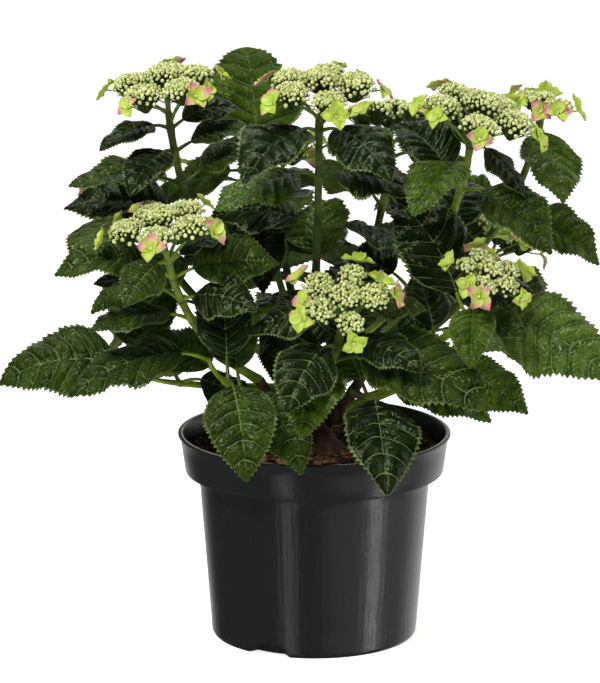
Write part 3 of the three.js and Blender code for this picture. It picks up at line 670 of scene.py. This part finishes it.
def map_range(tree, value, from_min, from_max, to_min, to_max, blend="LINEAR"):
    """A value that is mapped from one range to another."""
    mapped = tree.nodes.new("ShaderNodeMapRange")
    mapped.interpolation_type = blend
    ends = dict(zip(("From Min", "From Max", "To Min", "To Max"), (from_min, from_max, to_min, to_max)))
    for socket, end in ends.items():
        mapped.inputs[socket].default_value = end
    tree.links.new(value, mapped.inputs["Value"])
    return mapped.outputs["Result"]


def socket_of(sockets, identifier):
    """A node's socket by its identifier, for nodes that give several sockets the same name."""
    return next(socket for socket in sockets if socket.identifier == identifier)


def leaf_material(name, shade, body, lively, net, roughness, specular, pucker):
    """A leaf's face: mottled green, with a net of fine veins between which it is puckered."""
    material, tree, shader = new_material(name, body, roughness, specular)
    shader.inputs["Specular Tint"].default_value = (*LEAF_GLOSS, 1)
    colour = colour_ramp(tree, noise(tree, 60, 4), (shade, body, lively), (0.3, 0.52, 0.75))
    edges = cell_edges(tree, LEAF_NET["scale"])
    drawn = map_range(tree, edges, LEAF_NET["inner"], LEAF_NET["outer"], LEAF_NET["strength"], 0)
    mix = tree.nodes.new("ShaderNodeMix")
    mix.data_type = "RGBA"
    socket_of(mix.inputs, "B_Color").default_value = (*net, 1)
    tree.links.new(drawn, socket_of(mix.inputs, "Factor_Float"))
    tree.links.new(colour, socket_of(mix.inputs, "A_Color"))
    tree.links.new(socket_of(mix.outputs, "Result_Color"), shader.inputs["Base Color"])
    add_bump(tree, shader, edges, pucker, LEAF_NET["relief"])
    return material


def soft_material(name, colours, roughness, places=(0.35, 0.65), scale=90, bump=0.0002, specular=0.4):
    """A mottled smooth skin, for stems, veins, buds and petals."""
    material, tree, shader = new_material(name, colours[len(colours) // 2], roughness, specular)
    tree.links.new(colour_ramp(tree, noise(tree, scale), colours, places), shader.inputs["Base Color"])
    add_bump(tree, shader, noise(tree, scale * 8, 2), bump)
    return material


def rough_material(name, colour, roughness, specular, grain, colours, places, relief):
    """Wood or peat, whose grain, the settings of a noise, gives both its colours and its relief."""
    material, tree, shader = new_material(name, colour, roughness, specular)
    height = noise(tree, **grain)
    tree.links.new(colour_ramp(tree, height, colours, places), shader.inputs["Base Color"])
    add_bump(tree, shader, height, relief)
    return material


def pot_material():
    """Moulded black plastic with a satin gloss, and fine streaks that run down the wall."""
    material, tree, shader = new_material("moulded_plastic", (0.012, 0.012, 0.0125), 0.24, 0.5)
    streaks = noise(tree, 420, 4, 0.6, (1, 1, 0.004))
    tree.links.new(map_range(tree, streaks, 0, 1, 0.16, 0.34), shader.inputs["Roughness"])
    add_bump(tree, shader, streaks, 0.00016)
    return material


def make_materials():
    """Every material by its name."""
    made = [soft_material(name, **look) for name, look in SKINS.items()]
    made += [
        pot_material(), leaf_material("leaf_under", **UNDERSIDE),
        rough_material("woody_bark", **WOOD_SKIN), rough_material("damp_peat", **PEAT_SKIN),
    ]
    for tone, green in LEAF_TONES.items():
        made.append(leaf_material("leaf_" + tone, **green))
        # The valley copy of each green is the same green darkened: painted shade for where the blade dips to
        # its lateral veins.
        painted_shade = {part: tuple(channel * PAINTED_VALLEY_SHADE for channel in green[part]) for part in GREEN_PARTS}
        made.append(leaf_material(f"leaf_{tone}_valley", **(green | painted_shade)))
    return {material.name: material for material in made}


# ---- pot and growing medium

# The rounding of the pot's foot, the heights of its lowest rows and how far inside it the flat ones lie.
POT_FOOT = dict(round=2.4, draw=0.5, heights=(0, 0.4, 1.2, 2.4, 4, 6, 8, 9.1, 9.9, 11),
                underside=(20, 11, 9.5), inside=14, inside_rise=2, recessed=4)
POT_RIB = dict(depth=0.07, low=4, high=138, count=90)
POT_SIDES = 360
RECESS_BLUR = dict(side=1.2, top=0.8)


def pot_outside():
    """The outside of the pot as rows of [radius, height], from its foot to the top of its rim."""
    foot, shoulder, band, rim = (POT[name + "_radius"] for name in ("foot", "shoulder", "band_foot", "rim"))
    ledge = POT["height"] - POT["band_height"]
    lip = POT["height"] - POT["lip"]
    neck = rim - POT["lip"]
    slope = (shoulder - foot) / ledge
    rows = [(foot - max(0, POT_FOOT["round"] - height) * POT_FOOT["draw"] + height * slope, height)
            for height in POT_FOOT["heights"]]
    low, high = POT_FOOT["round"], ledge - 1.2
    rows += [(foot + (shoulder - foot) * s, low + (high - low) * s) for s in np.linspace(0, 1, 14)[1:]]
    # The small steps round the corners of the ledge, and those of the lip.
    rows += [(shoulder + 0.3, ledge - 0.4), (shoulder + 1.2, ledge), (band - 1.4, ledge),
             (band - 0.4, ledge + 0.4), (band, ledge + 1.4)]
    low, high = ledge + 1.4, lip - 0.8
    rows += [(band + (neck - band) * s, low + (high - low) * s) for s in (0.33, 0.66, 1)]
    rows += [(neck + 0.5, lip - 0.2), (rim - 0.5, lip), (rim, lip + 0.5), (rim, POT["height"] - 0.5),
             (rim - 0.5, POT["height"]), (neck - POT["wall"] + 0.5, POT["height"])]
    return rows


def pot_inside():
    """The inside of the pot as rows of [radius, height], from its rim to its floor."""
    ledge = POT["height"] - POT["band_height"] + POT["wall"]
    neck = POT["rim_radius"] - POT["lip"] - POT["wall"]
    band = POT["band_foot_radius"] - POT["wall"]
    floor = POT["foot_radius"] - POT_FOOT["inside"]
    return [(neck, POT["height"] - 0.6), (band + 1, ledge + 6), (band, ledge),
            (POT["shoulder_radius"] - POT["wall"], ledge),
            (floor, POT["wall"] + POT_FOOT["inside_rise"]), (0, POT["wall"])]


def notch_depth(angle, height):
    """How far the wall is set in at a compass angle and height by the moulded drain recesses."""
    step = 360 / NOTCH["count"]
    off = (np.degrees(angle) - NOTCH["first"] + step / 2) % step - step / 2
    aside = abs(np.radians(off)) * POT["foot_radius"]
    climb = (height / NOTCH["height"]).clip(0, 1)
    half = (NOTCH["foot_width"] + (NOTCH["top_width"] - NOTCH["foot_width"]) * climb) / 2
    inside = ((half - aside) / RECESS_BLUR["side"] + 0.5).clip(0, 1)
    below = ((NOTCH["height"] - height) / RECESS_BLUR["top"] + 0.5).clip(0, 1)
    return NOTCH["depth"] * inside * below


def make_pot():
    """The pot as one turned shell with the recesses pressed into its foot and fine ribs down its wall."""
    underside = [(0, 0), *((POT["foot_radius"] - inset, 0) for inset in POT_FOOT["underside"])]
    outside = pot_outside()
    rows = np.array([*underside, *outside, *pot_inside()])
    radius, height = (np.repeat(rows[:, i:i + 1], POT_SIDES, 1) for i in (0, 1))
    angle = angles_round(POT_SIDES)
    outer = np.arange(len(rows))[:, None] < len(underside) + len(outside)
    wall_foot = POT["foot_radius"] - POT_FOOT["recessed"]
    radius = radius - np.where(outer & (radius > wall_foot), notch_depth(angle[None, :], height), 0)
    ribbed = (height > POT_RIB["low"]) & (height < POT_RIB["high"]) & outer
    rib = POT_RIB["depth"] * (0.5 + 0.5 * np.cos(angle * POT_RIB["count"]))
    radius = radius - np.where(ribbed, rib, 0)
    points = np.stack([radius * np.cos(angle), radius * np.sin(angle), height], -1)
    batch = Batch()
    batch.add(points, grid_faces(len(rows), POT_SIDES, closed=True))
    make_piece("pot_shell", batch, ["moulded_plastic"], ["pot"])


def add_surface(batch, random):
    """The peat's rough round surface, closed by a skirt and a point below it."""
    sides, rings = PEAT["sides"], PEAT["rings"]
    radius = np.linspace(0, PEAT_EDGE, rings)[:, None]
    angle = angles_round(sides)[None, :]
    x, y = radius * np.cos(angle), radius * np.sin(angle)
    waves = random.uniform(*PEAT["wave_numbers"], (PEAT["waves"], 4))
    rough = sum(np.sin(x * a + b) * np.cos(y * c + d) for a, b, c, d in waves) * PEAT["wave_height"]
    rough = rough + random.uniform(-PEAT["grain"], PEAT["grain"], rough.shape)
    fall = (SOIL["middle"] - SOIL["edge"]) * (radius / PEAT_EDGE)
    calm = np.clip((PEAT_EDGE - radius) / PEAT["calm_edge"], 0, 1)
    calm = calm * np.clip(radius / PEAT["calm_middle"], 0, 1)
    top = np.stack([x, y, SOIL["middle"] - fall + rough * calm - PEAT["sink"]], -1)
    batch.add(top, grid_faces(rings, sides, closed=True))
    taper = PEAT["skirt_taper"]
    lower = top[-1] * [taper, taper, 1] - UP * PEAT["skirt_drop"]
    skirt = np.stack([top[-1], lower, lower * 0 + UP * PEAT["bottom"]])
    batch.add(skirt, grid_faces(3, sides, closed=True))


def add_chip(batch, random):
    """One bark chip: a box with strayed corners that lies on the medium."""
    distance = PEAT_EDGE * math.sqrt(random.uniform(*CHIPS["spread"]))
    turn = random.uniform(0, 360)
    size = random.gamma(*CHIPS["size"]) + CHIPS["least_size"]
    length = min(CHIPS["length"] * size, CHIPS["longest"]) * random.uniform(*CHIPS["stretch"])
    shape = CHIP_CORNERS * [length, CHIPS["width"] * size, CHIPS["thickness"] * size]
    shape = shape + random.uniform(-CHIPS["stray"], CHIPS["stray"], shape.shape) * size
    axis = unit(UP + compass(random.uniform(0, 360)) * random.uniform(0, CHIPS["tilt"]))
    place = compass(turn) * min(distance, PEAT_EDGE - length * CHIPS["margin"])
    fall = (SOIL["middle"] - SOIL["edge"]) * distance / PEAT_EDGE
    level = SOIL["middle"] - fall + random.uniform(*CHIPS["lift"])
    slot = random.choice(len(CHIPS["shares"]), p=CHIPS["shares"])
    batch.add(shape @ turned_about(axis) + place + UP * level, CHIP_FACES, slot)


def make_medium():
    """The peat's surface and the bark chips that lie on it."""
    random = np.random.default_rng(11)
    surface, chips = Batch(), Batch()
    add_surface(surface, random)
    make_piece("peat_surface", surface, ["damp_peat"], ["growing_medium"])
    for _ in range(CHIPS["count"]):
        add_chip(chips, random)
    colours = ["bark_chip_dark", "bark_chip_brown", "bark_chip_tan"]
    make_piece("bark_chips", chips, colours, smooth=False)


# ---- woody crown and canes

def bark_relief(seed, depth):
    """Ridges that run along a limb and break up, as an addition to its radius."""
    random = np.random.default_rng(seed)
    waves = []
    for _ in range(BARK["waves"]):
        number = random.integers(3, 9)
        waves.append((number, *(random.uniform(*ends) for ends in ((4, 26), (0, 6), (0.4, 1)))))

    def relief(angle, share):
        total = sum(w * np.sin(n * angle + f * share + p) for n, f, p, w in waves)
        return depth * total / 4

    return relief


def make_wood():
    """The crown, the canes and the cut stubs, with their bark."""
    batch = Batch()
    c = CROWN
    share = np.linspace(0, 1, BARK["rows"])
    heights = share * c["height"]
    radii = np.interp(heights, [0, c["flare_height"], c["shoulder_height"], c["height"]],
                      [c["flare_radius"], c["waist_radius"], c["shoulder_radius"], c["cap_radius"]])
    axis = (CROWN_FOOT + heights)[:, None] * UP
    tube(batch, axis, radii - BARK["crown_depth"], BARK["crown_sides"], 0,
         bark_relief(3, BARK["crown_relief"]))
    limbs = {"bough_" + name: bough for name, bough in BOUGHS.items()}
    limbs |= {"cut_stub_" + name: stub for name, stub in STUBS.items()}
    radii = BOUGH["foot_radius"] + (BOUGH["tip_radius"] - BOUGH["foot_radius"]) * share
    radii = radii - BARK["depth"]
    radii = radii + BARK["node_swell"] * np.exp(-(((share - BARK["node_at"]) / BARK["node_spread"]) ** 2))
    for number, bough in enumerate(limbs.values()):
        points = bezier(*bough_curve(bough), share)
        tube(batch, points, radii, BARK["sides"], 0, bark_relief(20 + number, BARK["relief"]))
    for stub in STUBS.values():
        _, middle, end = bough_curve(stub)
        ahead = unit(end - middle)
        cut = np.stack([end - ahead * CUT["inside"], end + ahead * CUT["out"]])
        tube(batch, cut, BOUGH["tip_radius"] - CUT["slimmer"], BARK["sides"], 1)
    make_piece("woody_canes", batch, ["woody_bark", "cut_wood"], ["stem_crown", *limbs])


# ---- leaves

def blade_relief(r, q, share, spread):
    """How far the blade stands out at rows r and columns q, over its length.

    It swells between its lateral veins, its halves fold unevenly, its margin waves and its skin crinkles.
    """
    tapered = np.sin(np.pi * r)
    swell = abs(np.sin(np.pi * np.arange(len(r))[:, None] / BLADE["rows_per_vein"])) ** 0.8
    relief = RELIEF["quilt"] * swell * np.sin(np.pi * abs(q) ** 0.6) ** 0.8 * tapered**0.5
    for side in (-1, 1):
        half = np.where(np.sign(q) == side, abs(q), 0)
        waves = RELIEF["waves"] + spread(RELIEF["waves_vary"])
        relief = relief + RELIEF["wave"] * half**2 * np.sin(waves * r + spread(RELIEF["phase"])) * tapered
        fold = RELIEF["fold"] * LEAF["width_share"] * spread(1)
        relief = relief + fold * half * outline(share) * tapered
    for _ in range(RELIEF["crinkles"]):
        along_phase, across_phase = spread(RELIEF["phase"]), spread(RELIEF["phase"])
        down = np.sin((RELIEF["along"] + spread(RELIEF["along_vary"])) * r + along_phase)
        over = np.sin((RELIEF["across"] + spread(RELIEF["across_vary"])) * q + across_phase)
        relief = relief + RELIEF["crinkle"] * tapered * down * over
    return relief


def blade_grid(leaf, spread):
    """The blade's points as a grid whose rows follow the lateral veins, and the normals there."""
    half = np.array(BLADE_COLUMNS)
    q = np.concatenate([-half[:0:-1], half])[None, :]
    r = np.linspace(0, 1, BLADE["rows"] + 1)[:, None]
    at_rib = r ** BLADE["vein_sweep"]
    share = at_rib + (r - at_rib) * abs(q) ** BLADE["vein_curve"]
    side, normal = leaf_frame(leaf, share)
    points = blade_point(leaf, share, q)
    # Every second row of the margin stands out as a tooth and leads towards the tip.
    edge = ((abs(q) - TOOTH["edge"]) / (1 - TOOTH["edge"])).clip(0, 1)
    body = (np.sin(np.pi * r) ** 0.3).clip(0, 1) * (r > TOOTH["first"]) * (r < TOOTH["last"])
    is_tooth = np.arange(len(r))[:, None] % 2 == 1
    tooth = np.where(is_tooth, 1.0, -TOOTH["back"]) * edge * body * leaf["length"]
    slope = np.radians(leaf["pitch"] - leaf["bend"] * share)[..., None]
    ahead = compass(leaf["turn"]) * np.cos(slope) + UP * np.sin(slope)
    points = points + (tooth * TOOTH["out"] * np.sign(q))[..., None] * side
    points = points + (tooth * TOOTH["lead"])[..., None] * ahead
    relief = blade_relief(r, q, share, spread)
    return points + (relief * leaf["length"])[..., None] * normal, normal


def add_blade(batch, points, normal):
    """A blade's two faces and its rim, in the slots of a leaf piece: face, underside, edge with its painted
    highlight, and valley with its painted shade.
    """
    rows, columns = points.shape[:2]
    half = BLADE["thickness"] / 2
    faces = grid_faces(rows, columns)
    row, column = np.divmod(np.arange(len(faces)), columns - 1)
    # The margin faces and the rim take the edge colour, a painted highlight along the teeth.
    at_margin = (column == 0) | (column == columns - 2)
    # The blade is painted darker where it dips to its lateral veins: painted shade in the dips beside them.
    band = row % BLADE["rows_per_vein"]
    in_painted_shade = (band == 0) | (band == BLADE["rows_per_vein"] - 1)
    batch.add(points + normal * half, faces, np.where(at_margin, 2, np.where(in_painted_shade, 3, 0)))
    batch.add(points - normal * half, faces[:, ::-1], 1)
    margin = np.concatenate([points[:, 0], points[::-1, -1]])
    lift = np.concatenate([normal[:, 0], normal[::-1, -1]])
    rim = np.stack([margin + lift * half, margin - lift * half])
    batch.add(rim, grid_faces(2, len(margin), closed=True), 2)


def add_veins(veins, points, size, slot):
    """The midrib, and the laterals that leave it at every row where a lateral vein runs."""
    rows, columns = points.shape[:2]
    middle = columns // 2
    keep = np.arange(0, rows, VEIN["step"])
    taper = VEIN["midrib_foot"] + (VEIN["midrib_tip"] - VEIN["midrib_foot"]) * (keep / (rows - 1)) ** 0.7
    tube(veins, points[keep, middle], taper * size, VEIN["midrib_sides"], slot)
    width = np.linspace(VEIN["lateral_foot"], VEIN["lateral_tip"], VEIN["columns"])
    for row in range(BLADE["rows_per_vein"], rows - 2, BLADE["rows_per_vein"]):
        for side in (-1, 1):
            line = points[row, middle + side * np.arange(VEIN["columns"])]
            tube(veins, line, width * size, VEIN["lateral_sides"], slot)


def add_leaf(one, leaf, batch, veins, stems):
    """One leaf: its blade, its veins, and its petiole from inside the stem to where it becomes the midrib."""
    spread = seeded_spread(seed_of(one["name"]) + 101 * leaf["pair"] + 37 * leaf["partner"] + 5)
    points, normal = blade_grid(leaf, spread)
    add_blade(batch, points, normal)
    size = (leaf["length"] / VEIN["blade_length"]) ** 0.5
    add_veins(veins, points, size, 1 if one["name"] in FAINT_VEINS else 0)
    steps = PETIOLE["steps"]
    path = bezier(leaf["root"], petiole_knee(leaf), blade_foot(leaf), np.linspace(0, 1, steps))
    path = np.vstack([path, points[PETIOLE["end_row"], points.shape[1] // 2]])
    radii = np.linspace(LEAF["petiole_radius"], PETIOLE["top_radius"], steps)
    tube(stems, path, np.append(radii, PETIOLE["end_radius"]), PETIOLE["sides"], stem_slot(one))


def stem_slot(one):
    """The slot of a shoot's stem colour in the green_stems piece: lime, or the darker green that is painted
    shade.
    """
    return 0 if one["name"] in LIME_STEMS else 2


def tone_of(one, leaf):
    """The name of a leaf's green."""
    tones = one["tones"][leaf["pair"]].split()
    return tones[min(leaf["partner"], len(tones) - 1)]


def in_groups(items, size):
    """Runs of at most size items, each with its number from 1."""
    for first in range(0, len(items), size):
        yield first // size + 1, items[first:first + size]


def nodes_of(shoots):
    """The solids that hold these shoots."""
    return ["foliage_" + one["name"] for one in shoots]


def make_leaves():
    """The leaves in pieces by their green, with at most LEAVES_PER_PIECE each; returns the petioles."""
    veins, stems = Batch(), Batch()
    for tone in LEAF_TONES:
        mine = [(one, leaf) for one in SHOOTS for leaf in one["leaves"] if tone_of(one, leaf) == tone]
        for number, group in in_groups(mine, LEAVES_PER_PIECE):
            batch = Batch()
            for one, leaf in group:
                add_leaf(one, leaf, batch, veins, stems)
            # The fourth slot is the painted shade of the blade's valleys.
            # The third slot is the edge's painted highlight.
            colours = ["leaf_" + tone, "leaf_under", "leaf_edge_painted_highlight", f"leaf_{tone}_valley"]
            nodes = sorted(set(nodes_of(one for one, _ in group)))
            make_piece(f"leaves_{tone}_{number}", batch, colours, nodes)
    make_piece("leaf_veins", veins, ["leaf_vein", "dark_vein"], nodes_of(SHOOTS))
    return stems


# ---- stems and flower heads

def make_stems(stems):
    """The green stems with their joints, gathered with the petioles."""
    foot, sides = STEM["foot_radius"], STEM_SKIN["sides"]
    share = np.linspace(0, 1, STEM_SKIN["rows"])
    for one in SHOOTS:
        top = STEM["top_radius"] if one["head"] else STEM["bud_radius"]
        radii = foot + (top - foot) * share - STEM_SKIN["slimmer"]
        for at, *_ in one["pairs"]:
            radii = radii + JOINT["swell"] * np.exp(-(((share - at) / JOINT["spread"]) ** 2))
        tube(stems, bezier(*one["curve"], share), radii, sides, stem_slot(one))
        for at, *_ in one["pairs"]:
            near = bezier(*one["curve"], (at + np.array(JOINT["places"])).clip(0, 1))
            tube(stems, near, foot + (top - foot) * at + np.array(JOINT["steps"]), sides, 1)
    make_piece("green_stems", stems, ["green_stem", "stem_joint", "painted_shade_stem"], nodes_of(SHOOTS))


def add_sepal(batch, centre, face, turn, size, cup, colours):
    """One sterile sepal: a broad pointed blade that stands out from the floret's middle."""
    rows, half = SEPAL["rows"], SEPAL["half_columns"]
    length, width = SEPAL["length"] * size, SEPAL["width"] * size
    spin = turned_about(face)
    out = spin[0] * math.cos(turn) + spin[1] * math.sin(turn)
    side = np.cross(face, out)
    r = np.linspace(0, 1, rows + 1)[:, None]
    q = np.linspace(-1, 1, 2 * half + 1)[None, :]
    broad = np.sin(np.pi * (0.06 + 0.94 * r) ** 0.85).clip(0) ** (0.65 + 0.5 * r)
    lift = cup * r**1.6 + SEPAL["rim_lift"] * q**2 * broad
    lift = lift - SEPAL["ripple"] * np.cos(7 * r) + SEPAL["ripple"] * np.cos(9 * q * r)
    points = (centre + (length * r)[..., None] * out + (width / 2 * broad * q)[..., None] * side
              + (length * lift)[..., None] * face)
    faces = grid_faces(rows + 1, 2 * half + 1)
    slot = np.repeat(np.array(colours), 2 * half)
    thick = face * SEPAL["thickness"] / 2
    batch.add(points + thick, faces, slot)
    batch.add(points - thick, faces[:, ::-1], slot)
    margin = np.concatenate([points[:, 0], points[::-1, -1]])
    batch.add(np.stack([margin + thick, margin - thick]), grid_faces(2, len(margin), closed=True), colours[2])


def add_floret(sepals, buds, floret, spread, blush):
    """Four sepals round a small bud. blush runs from 0, all lime, to 2, pink to the middle."""
    centre, face = floret["centre"], floret["face"]
    turn = spread(math.pi)
    for i in range(4):
        tone = max(0, min(2, blush if i % 2 == 0 else blush - 1 + (spread(1) > 0.2)))
        size = floret["radius"] / HEAD["floret_radius"] * (1 + spread(SEPAL["size_vary"]))
        tilted = unit(face + SEPAL["tilt"] * compass(spread(180)))
        out = turn + i * math.pi / 2 + spread(SEPAL["turn_vary"])
        cup = SEPAL["cup"] + spread(SEPAL["cup"])
        add_sepal(sepals, centre, tilted, out, size, cup, SEPAL_COLOURS[tone])
    add_ball(buds, centre + face * SEPAL["bud_height"], SEPAL["bud_radius"])


def add_ball(batch, centre, radius):
    """One bud."""
    points, quads, caps = BUD_BALL
    batch.add(points * radius + centre, quads)
    batch.add(points * radius + centre, caps)


def add_buds(buds, rays, cluster, axis, spread):
    """The buds that cover one domed cluster, each on its own short stalk, whose dark green is painted shade
    in the gaps between the buds.
    """
    centre, radius = cluster["centre"], cluster["radius"]
    spin = turned_about(axis)
    count = round(BUD["cover"] * (radius / BUD["spacing"]) ** 2)
    golden = math.pi * (3 - math.sqrt(5))
    base = centre - axis * radius * BUD["stalk_foot"]
    for i in range(count):
        low = (i + 0.5) / count
        reach = math.sqrt(low) * BUD["reach"]
        turn = i * golden
        up = BUD["dome"] * math.sqrt(1 - low**1.4) - BUD["sink"] - BUD["droop"] * low**5
        local = np.array([reach * math.cos(turn), reach * math.sin(turn), up])
        stray = np.array([spread(BUD["stray"]), spread(BUD["stray"]), spread(BUD["rise"])])
        place = centre + (local * radius + stray) @ spin
        add_ball(buds, place, BUD["radius"] * (1 + spread(BUD["radius_vary"])))
        start = base + (place - base) * BUD["stalk_start"]
        # The stalk takes the dark slot, painted shade between the buds.
        tube(rays, np.stack([start, place]), BUD["stalk_radii"], 3, 1)


def extra_florets(one, spread):
    """The sterile florets that only the looks have: lower ones, in the gaps between the outer clusters."""
    def vary(name):
        return LOW_FLORET[name] + spread(LOW_FLORET[name + "_vary"])

    axis = head_frame(one)[0]
    florets = []
    for gap in FLORET_GAPS:
        angle = (gap + 0.5) * 360 / HEAD["ring"] + spread(LOW_FLORET["angle_vary"])
        distance = one["head"] * (HEAD["ring_radius"] + HEAD["cluster_radius"] * vary("distance"))
        height = one["head"] * (HEAD["height"] - HEAD["dome"] * vary("drop"))
        face = unit(axis * vary("lean") + unit(outward(one, angle)))
        florets.append(dict(centre=head_point(one, distance, angle, height), face=face,
                            radius=HEAD["floret_radius"] * vary("size")))
    return florets


def add_head(one, buds, rays, sepals):
    """One flower head: bud clusters on rays that leave the collar in turn, and florets on thin stalks."""
    spread = seeded_spread(seed_of(one["name"]) + 17)
    axis = head_frame(one)[0]
    for number, cluster in enumerate(one["clusters"]):
        add_buds(buds, rays, cluster, axis, spread)
        leaves_at = one["tip"] + axis * (HEAD["ray_step"] * (number - HEAD["ring"]) if number else 0)
        top = cluster["centre"] - axis * cluster["radius"] * RAY["inside"]
        bend = (leaves_at + top) / 2 - (leaves_at - top) @ axis * axis * RAY["bow"]
        path = bezier(leaves_at, bend, top, np.linspace(0, 1, RAY["rows"]))
        radii = np.linspace(HEAD["ray_radius"], RAY["top_radius"], RAY["rows"])
        tube(rays, path, radii, RAY["sides"])
    outer = [(floret, cluster["centre"]) for floret, cluster in zip(one["florets"], one["clusters"][1:])]
    stalk = FLORET_STALK
    collar = one["tip"] + axis * one["head"] * stalk["collar"]
    outer += [(floret, collar) for floret in extra_florets(one, spread)]
    for number, (floret, root) in enumerate(outer):
        blush = FLORET_BLUSH[(number + len(one["name"])) % len(FLORET_BLUSH)]
        add_floret(sepals, buds, floret, spread, blush)
        inner = root - axis * stalk["foot_drop"]
        bend = (inner + floret["centre"]) / 2 - axis * stalk["bow"]
        path = bezier(inner, bend, floret["centre"], np.linspace(0, 1, stalk["rows"]))
        tube(rays, path, stalk["radius"], stalk["sides"])


def make_heads():
    """The buds in pieces of a few heads each, then all the rays and stalks, then all the sepals."""
    rays, sepals = Batch(), Batch()
    heads = [one for one in SHOOTS if one["head"]]
    for number, group in in_groups(heads, HEADS_PER_PIECE):
        buds = Batch()
        for one in group:
            add_head(one, buds, rays, sepals)
        make_piece(f"flower_buds_{number}", buds, ["flower_bud"], nodes_of(group))
    make_piece("flower_rays", rays, ["flower_ray", "bud_stalk_painted_shade"], nodes_of(heads))
    colours = ["sepal_lime", "sepal_blush", "sepal_pink"]
    make_piece("sterile_florets", sepals, colours, nodes_of(heads))


# ---- floor, light and camera

CAMERA = dict(target=(-12.1, 0, 251.7), distance=4000, elevation=13.5, picture_height=573.5, sensor=36)
FLOOR_HALF = 30
# Each light: its compass direction and elevation, then in metres its distance, width and height, then watts.
LIGHTS = {
    "key_left": (228, 52, 2.2, 0.7, 0.7, 34),
    "side_right": (352, 18, 2.2, 0.7, 1.3, 9),
    "top": (80, 78, 2.0, 0.8, 0.8, 16),
    "strip_right": (334.3, -24, 1.6, 0.03, 1.0, 1.8),
    "strip_far_right": (338.3, -24, 1.6, 0.03, 1.0, 1.5),
    "strip_left": (243, -24, 1.6, 0.05, 1.0, 1.1),
    "glow_right": (325, -24, 1.6, 3.0, 0.8, 3),
}
# What every light faces, in metres.
LIT_POINT = UP * 0.25


def make_stage():
    """A white floor that casts no shadow and that the pot doesn't mirror."""
    mesh = bpy.data.meshes.new("studio_floor")
    corners = [(x * FLOOR_HALF, y * FLOOR_HALF, 0) for x, y in ((-1, -1), (1, -1), (1, 1), (-1, 1))]
    mesh.from_pydata(corners, [], [(0, 1, 2, 3)])
    floor = add_object("studio_floor", mesh)
    material, _, shader = new_material("studio_white", (0.85, 0.85, 0.85), 0.9, 0.1)
    shader.inputs["Emission Color"].default_value = (1, 1, 1, 1)
    shader.inputs["Emission Strength"].default_value = 0.8
    mesh.materials.append(material)
    # The pot mirrors the dark studio in front of it, and light that stands lower than the floor.
    floor.visible_glossy = False
    floor.visible_shadow = False


def add_light(name, turn, elevation, distance, width, height, power):
    """A rectangular soft light that stands at a compass direction and faces the plant."""
    data = bpy.data.lights.new(name, "AREA")
    data.shape = "RECTANGLE"
    data.size = width
    data.size_y = height
    data.energy = power
    light = add_object(name, data)
    place = towards(turn, elevation) * distance + LIT_POINT
    light.location = place
    light.rotation_euler = rotation_to(LIT_POINT - place)


def rotation_to(direction):
    """The Euler angles that point an object's -Z along a direction, with its +Y upwards."""
    flat = math.hypot(direction[0], direction[1])
    return math.atan2(flat, -direction[2]), 0, math.atan2(direction[1], direction[0]) - math.pi / 2


def make_lights():
    """The lights, and a world with a white backdrop behind the plant and a dim room in front of it."""
    for name, setting in LIGHTS.items():
        add_light(name, *setting)
    world = bpy.data.worlds.new("studio")
    bpy.context.scene.world = world
    world.use_nodes = True
    tree = world.node_tree
    background = tree.nodes["Background"]
    background.inputs["Color"].default_value = (1, 1, 1, 1)
    place = tree.nodes.new("ShaderNodeTexCoord")
    facing = tree.nodes.new("ShaderNodeVectorMath")
    facing.operation = "DOT_PRODUCT"
    facing.inputs[1].default_value = compass(70)
    tree.links.new(place.outputs["Generated"], facing.inputs[0])
    strength = map_range(tree, facing.outputs["Value"], 0.4, 0.92, 0.05, 1, "SMOOTHSTEP")
    tree.links.new(strength, background.inputs["Strength"])


def make_camera():
    """The camera far in front of the plant, a little above level."""
    c = CAMERA
    data = bpy.data.cameras.new("camera")
    data.sensor_width = c["sensor"]
    data.lens = c["sensor"] * c["distance"] / c["picture_height"]
    data.clip_start, data.clip_end = 0.1, 100
    camera = add_object("camera", data)
    place = np.array(c["target"]) + towards(270, c["elevation"]) * c["distance"]
    camera.location = place * MM
    camera.rotation_euler = rotation_to(np.array(c["target"]) - place)
    bpy.context.scene.camera = camera
    bpy.context.scene.view_settings.view_transform = "Standard"


# ---- the plant

grow_plant()
MATERIALS = make_materials()
make_pot()
make_medium()
make_wood()
make_stems(make_leaves())
make_heads()
make_stage()
make_lights()
make_camera()
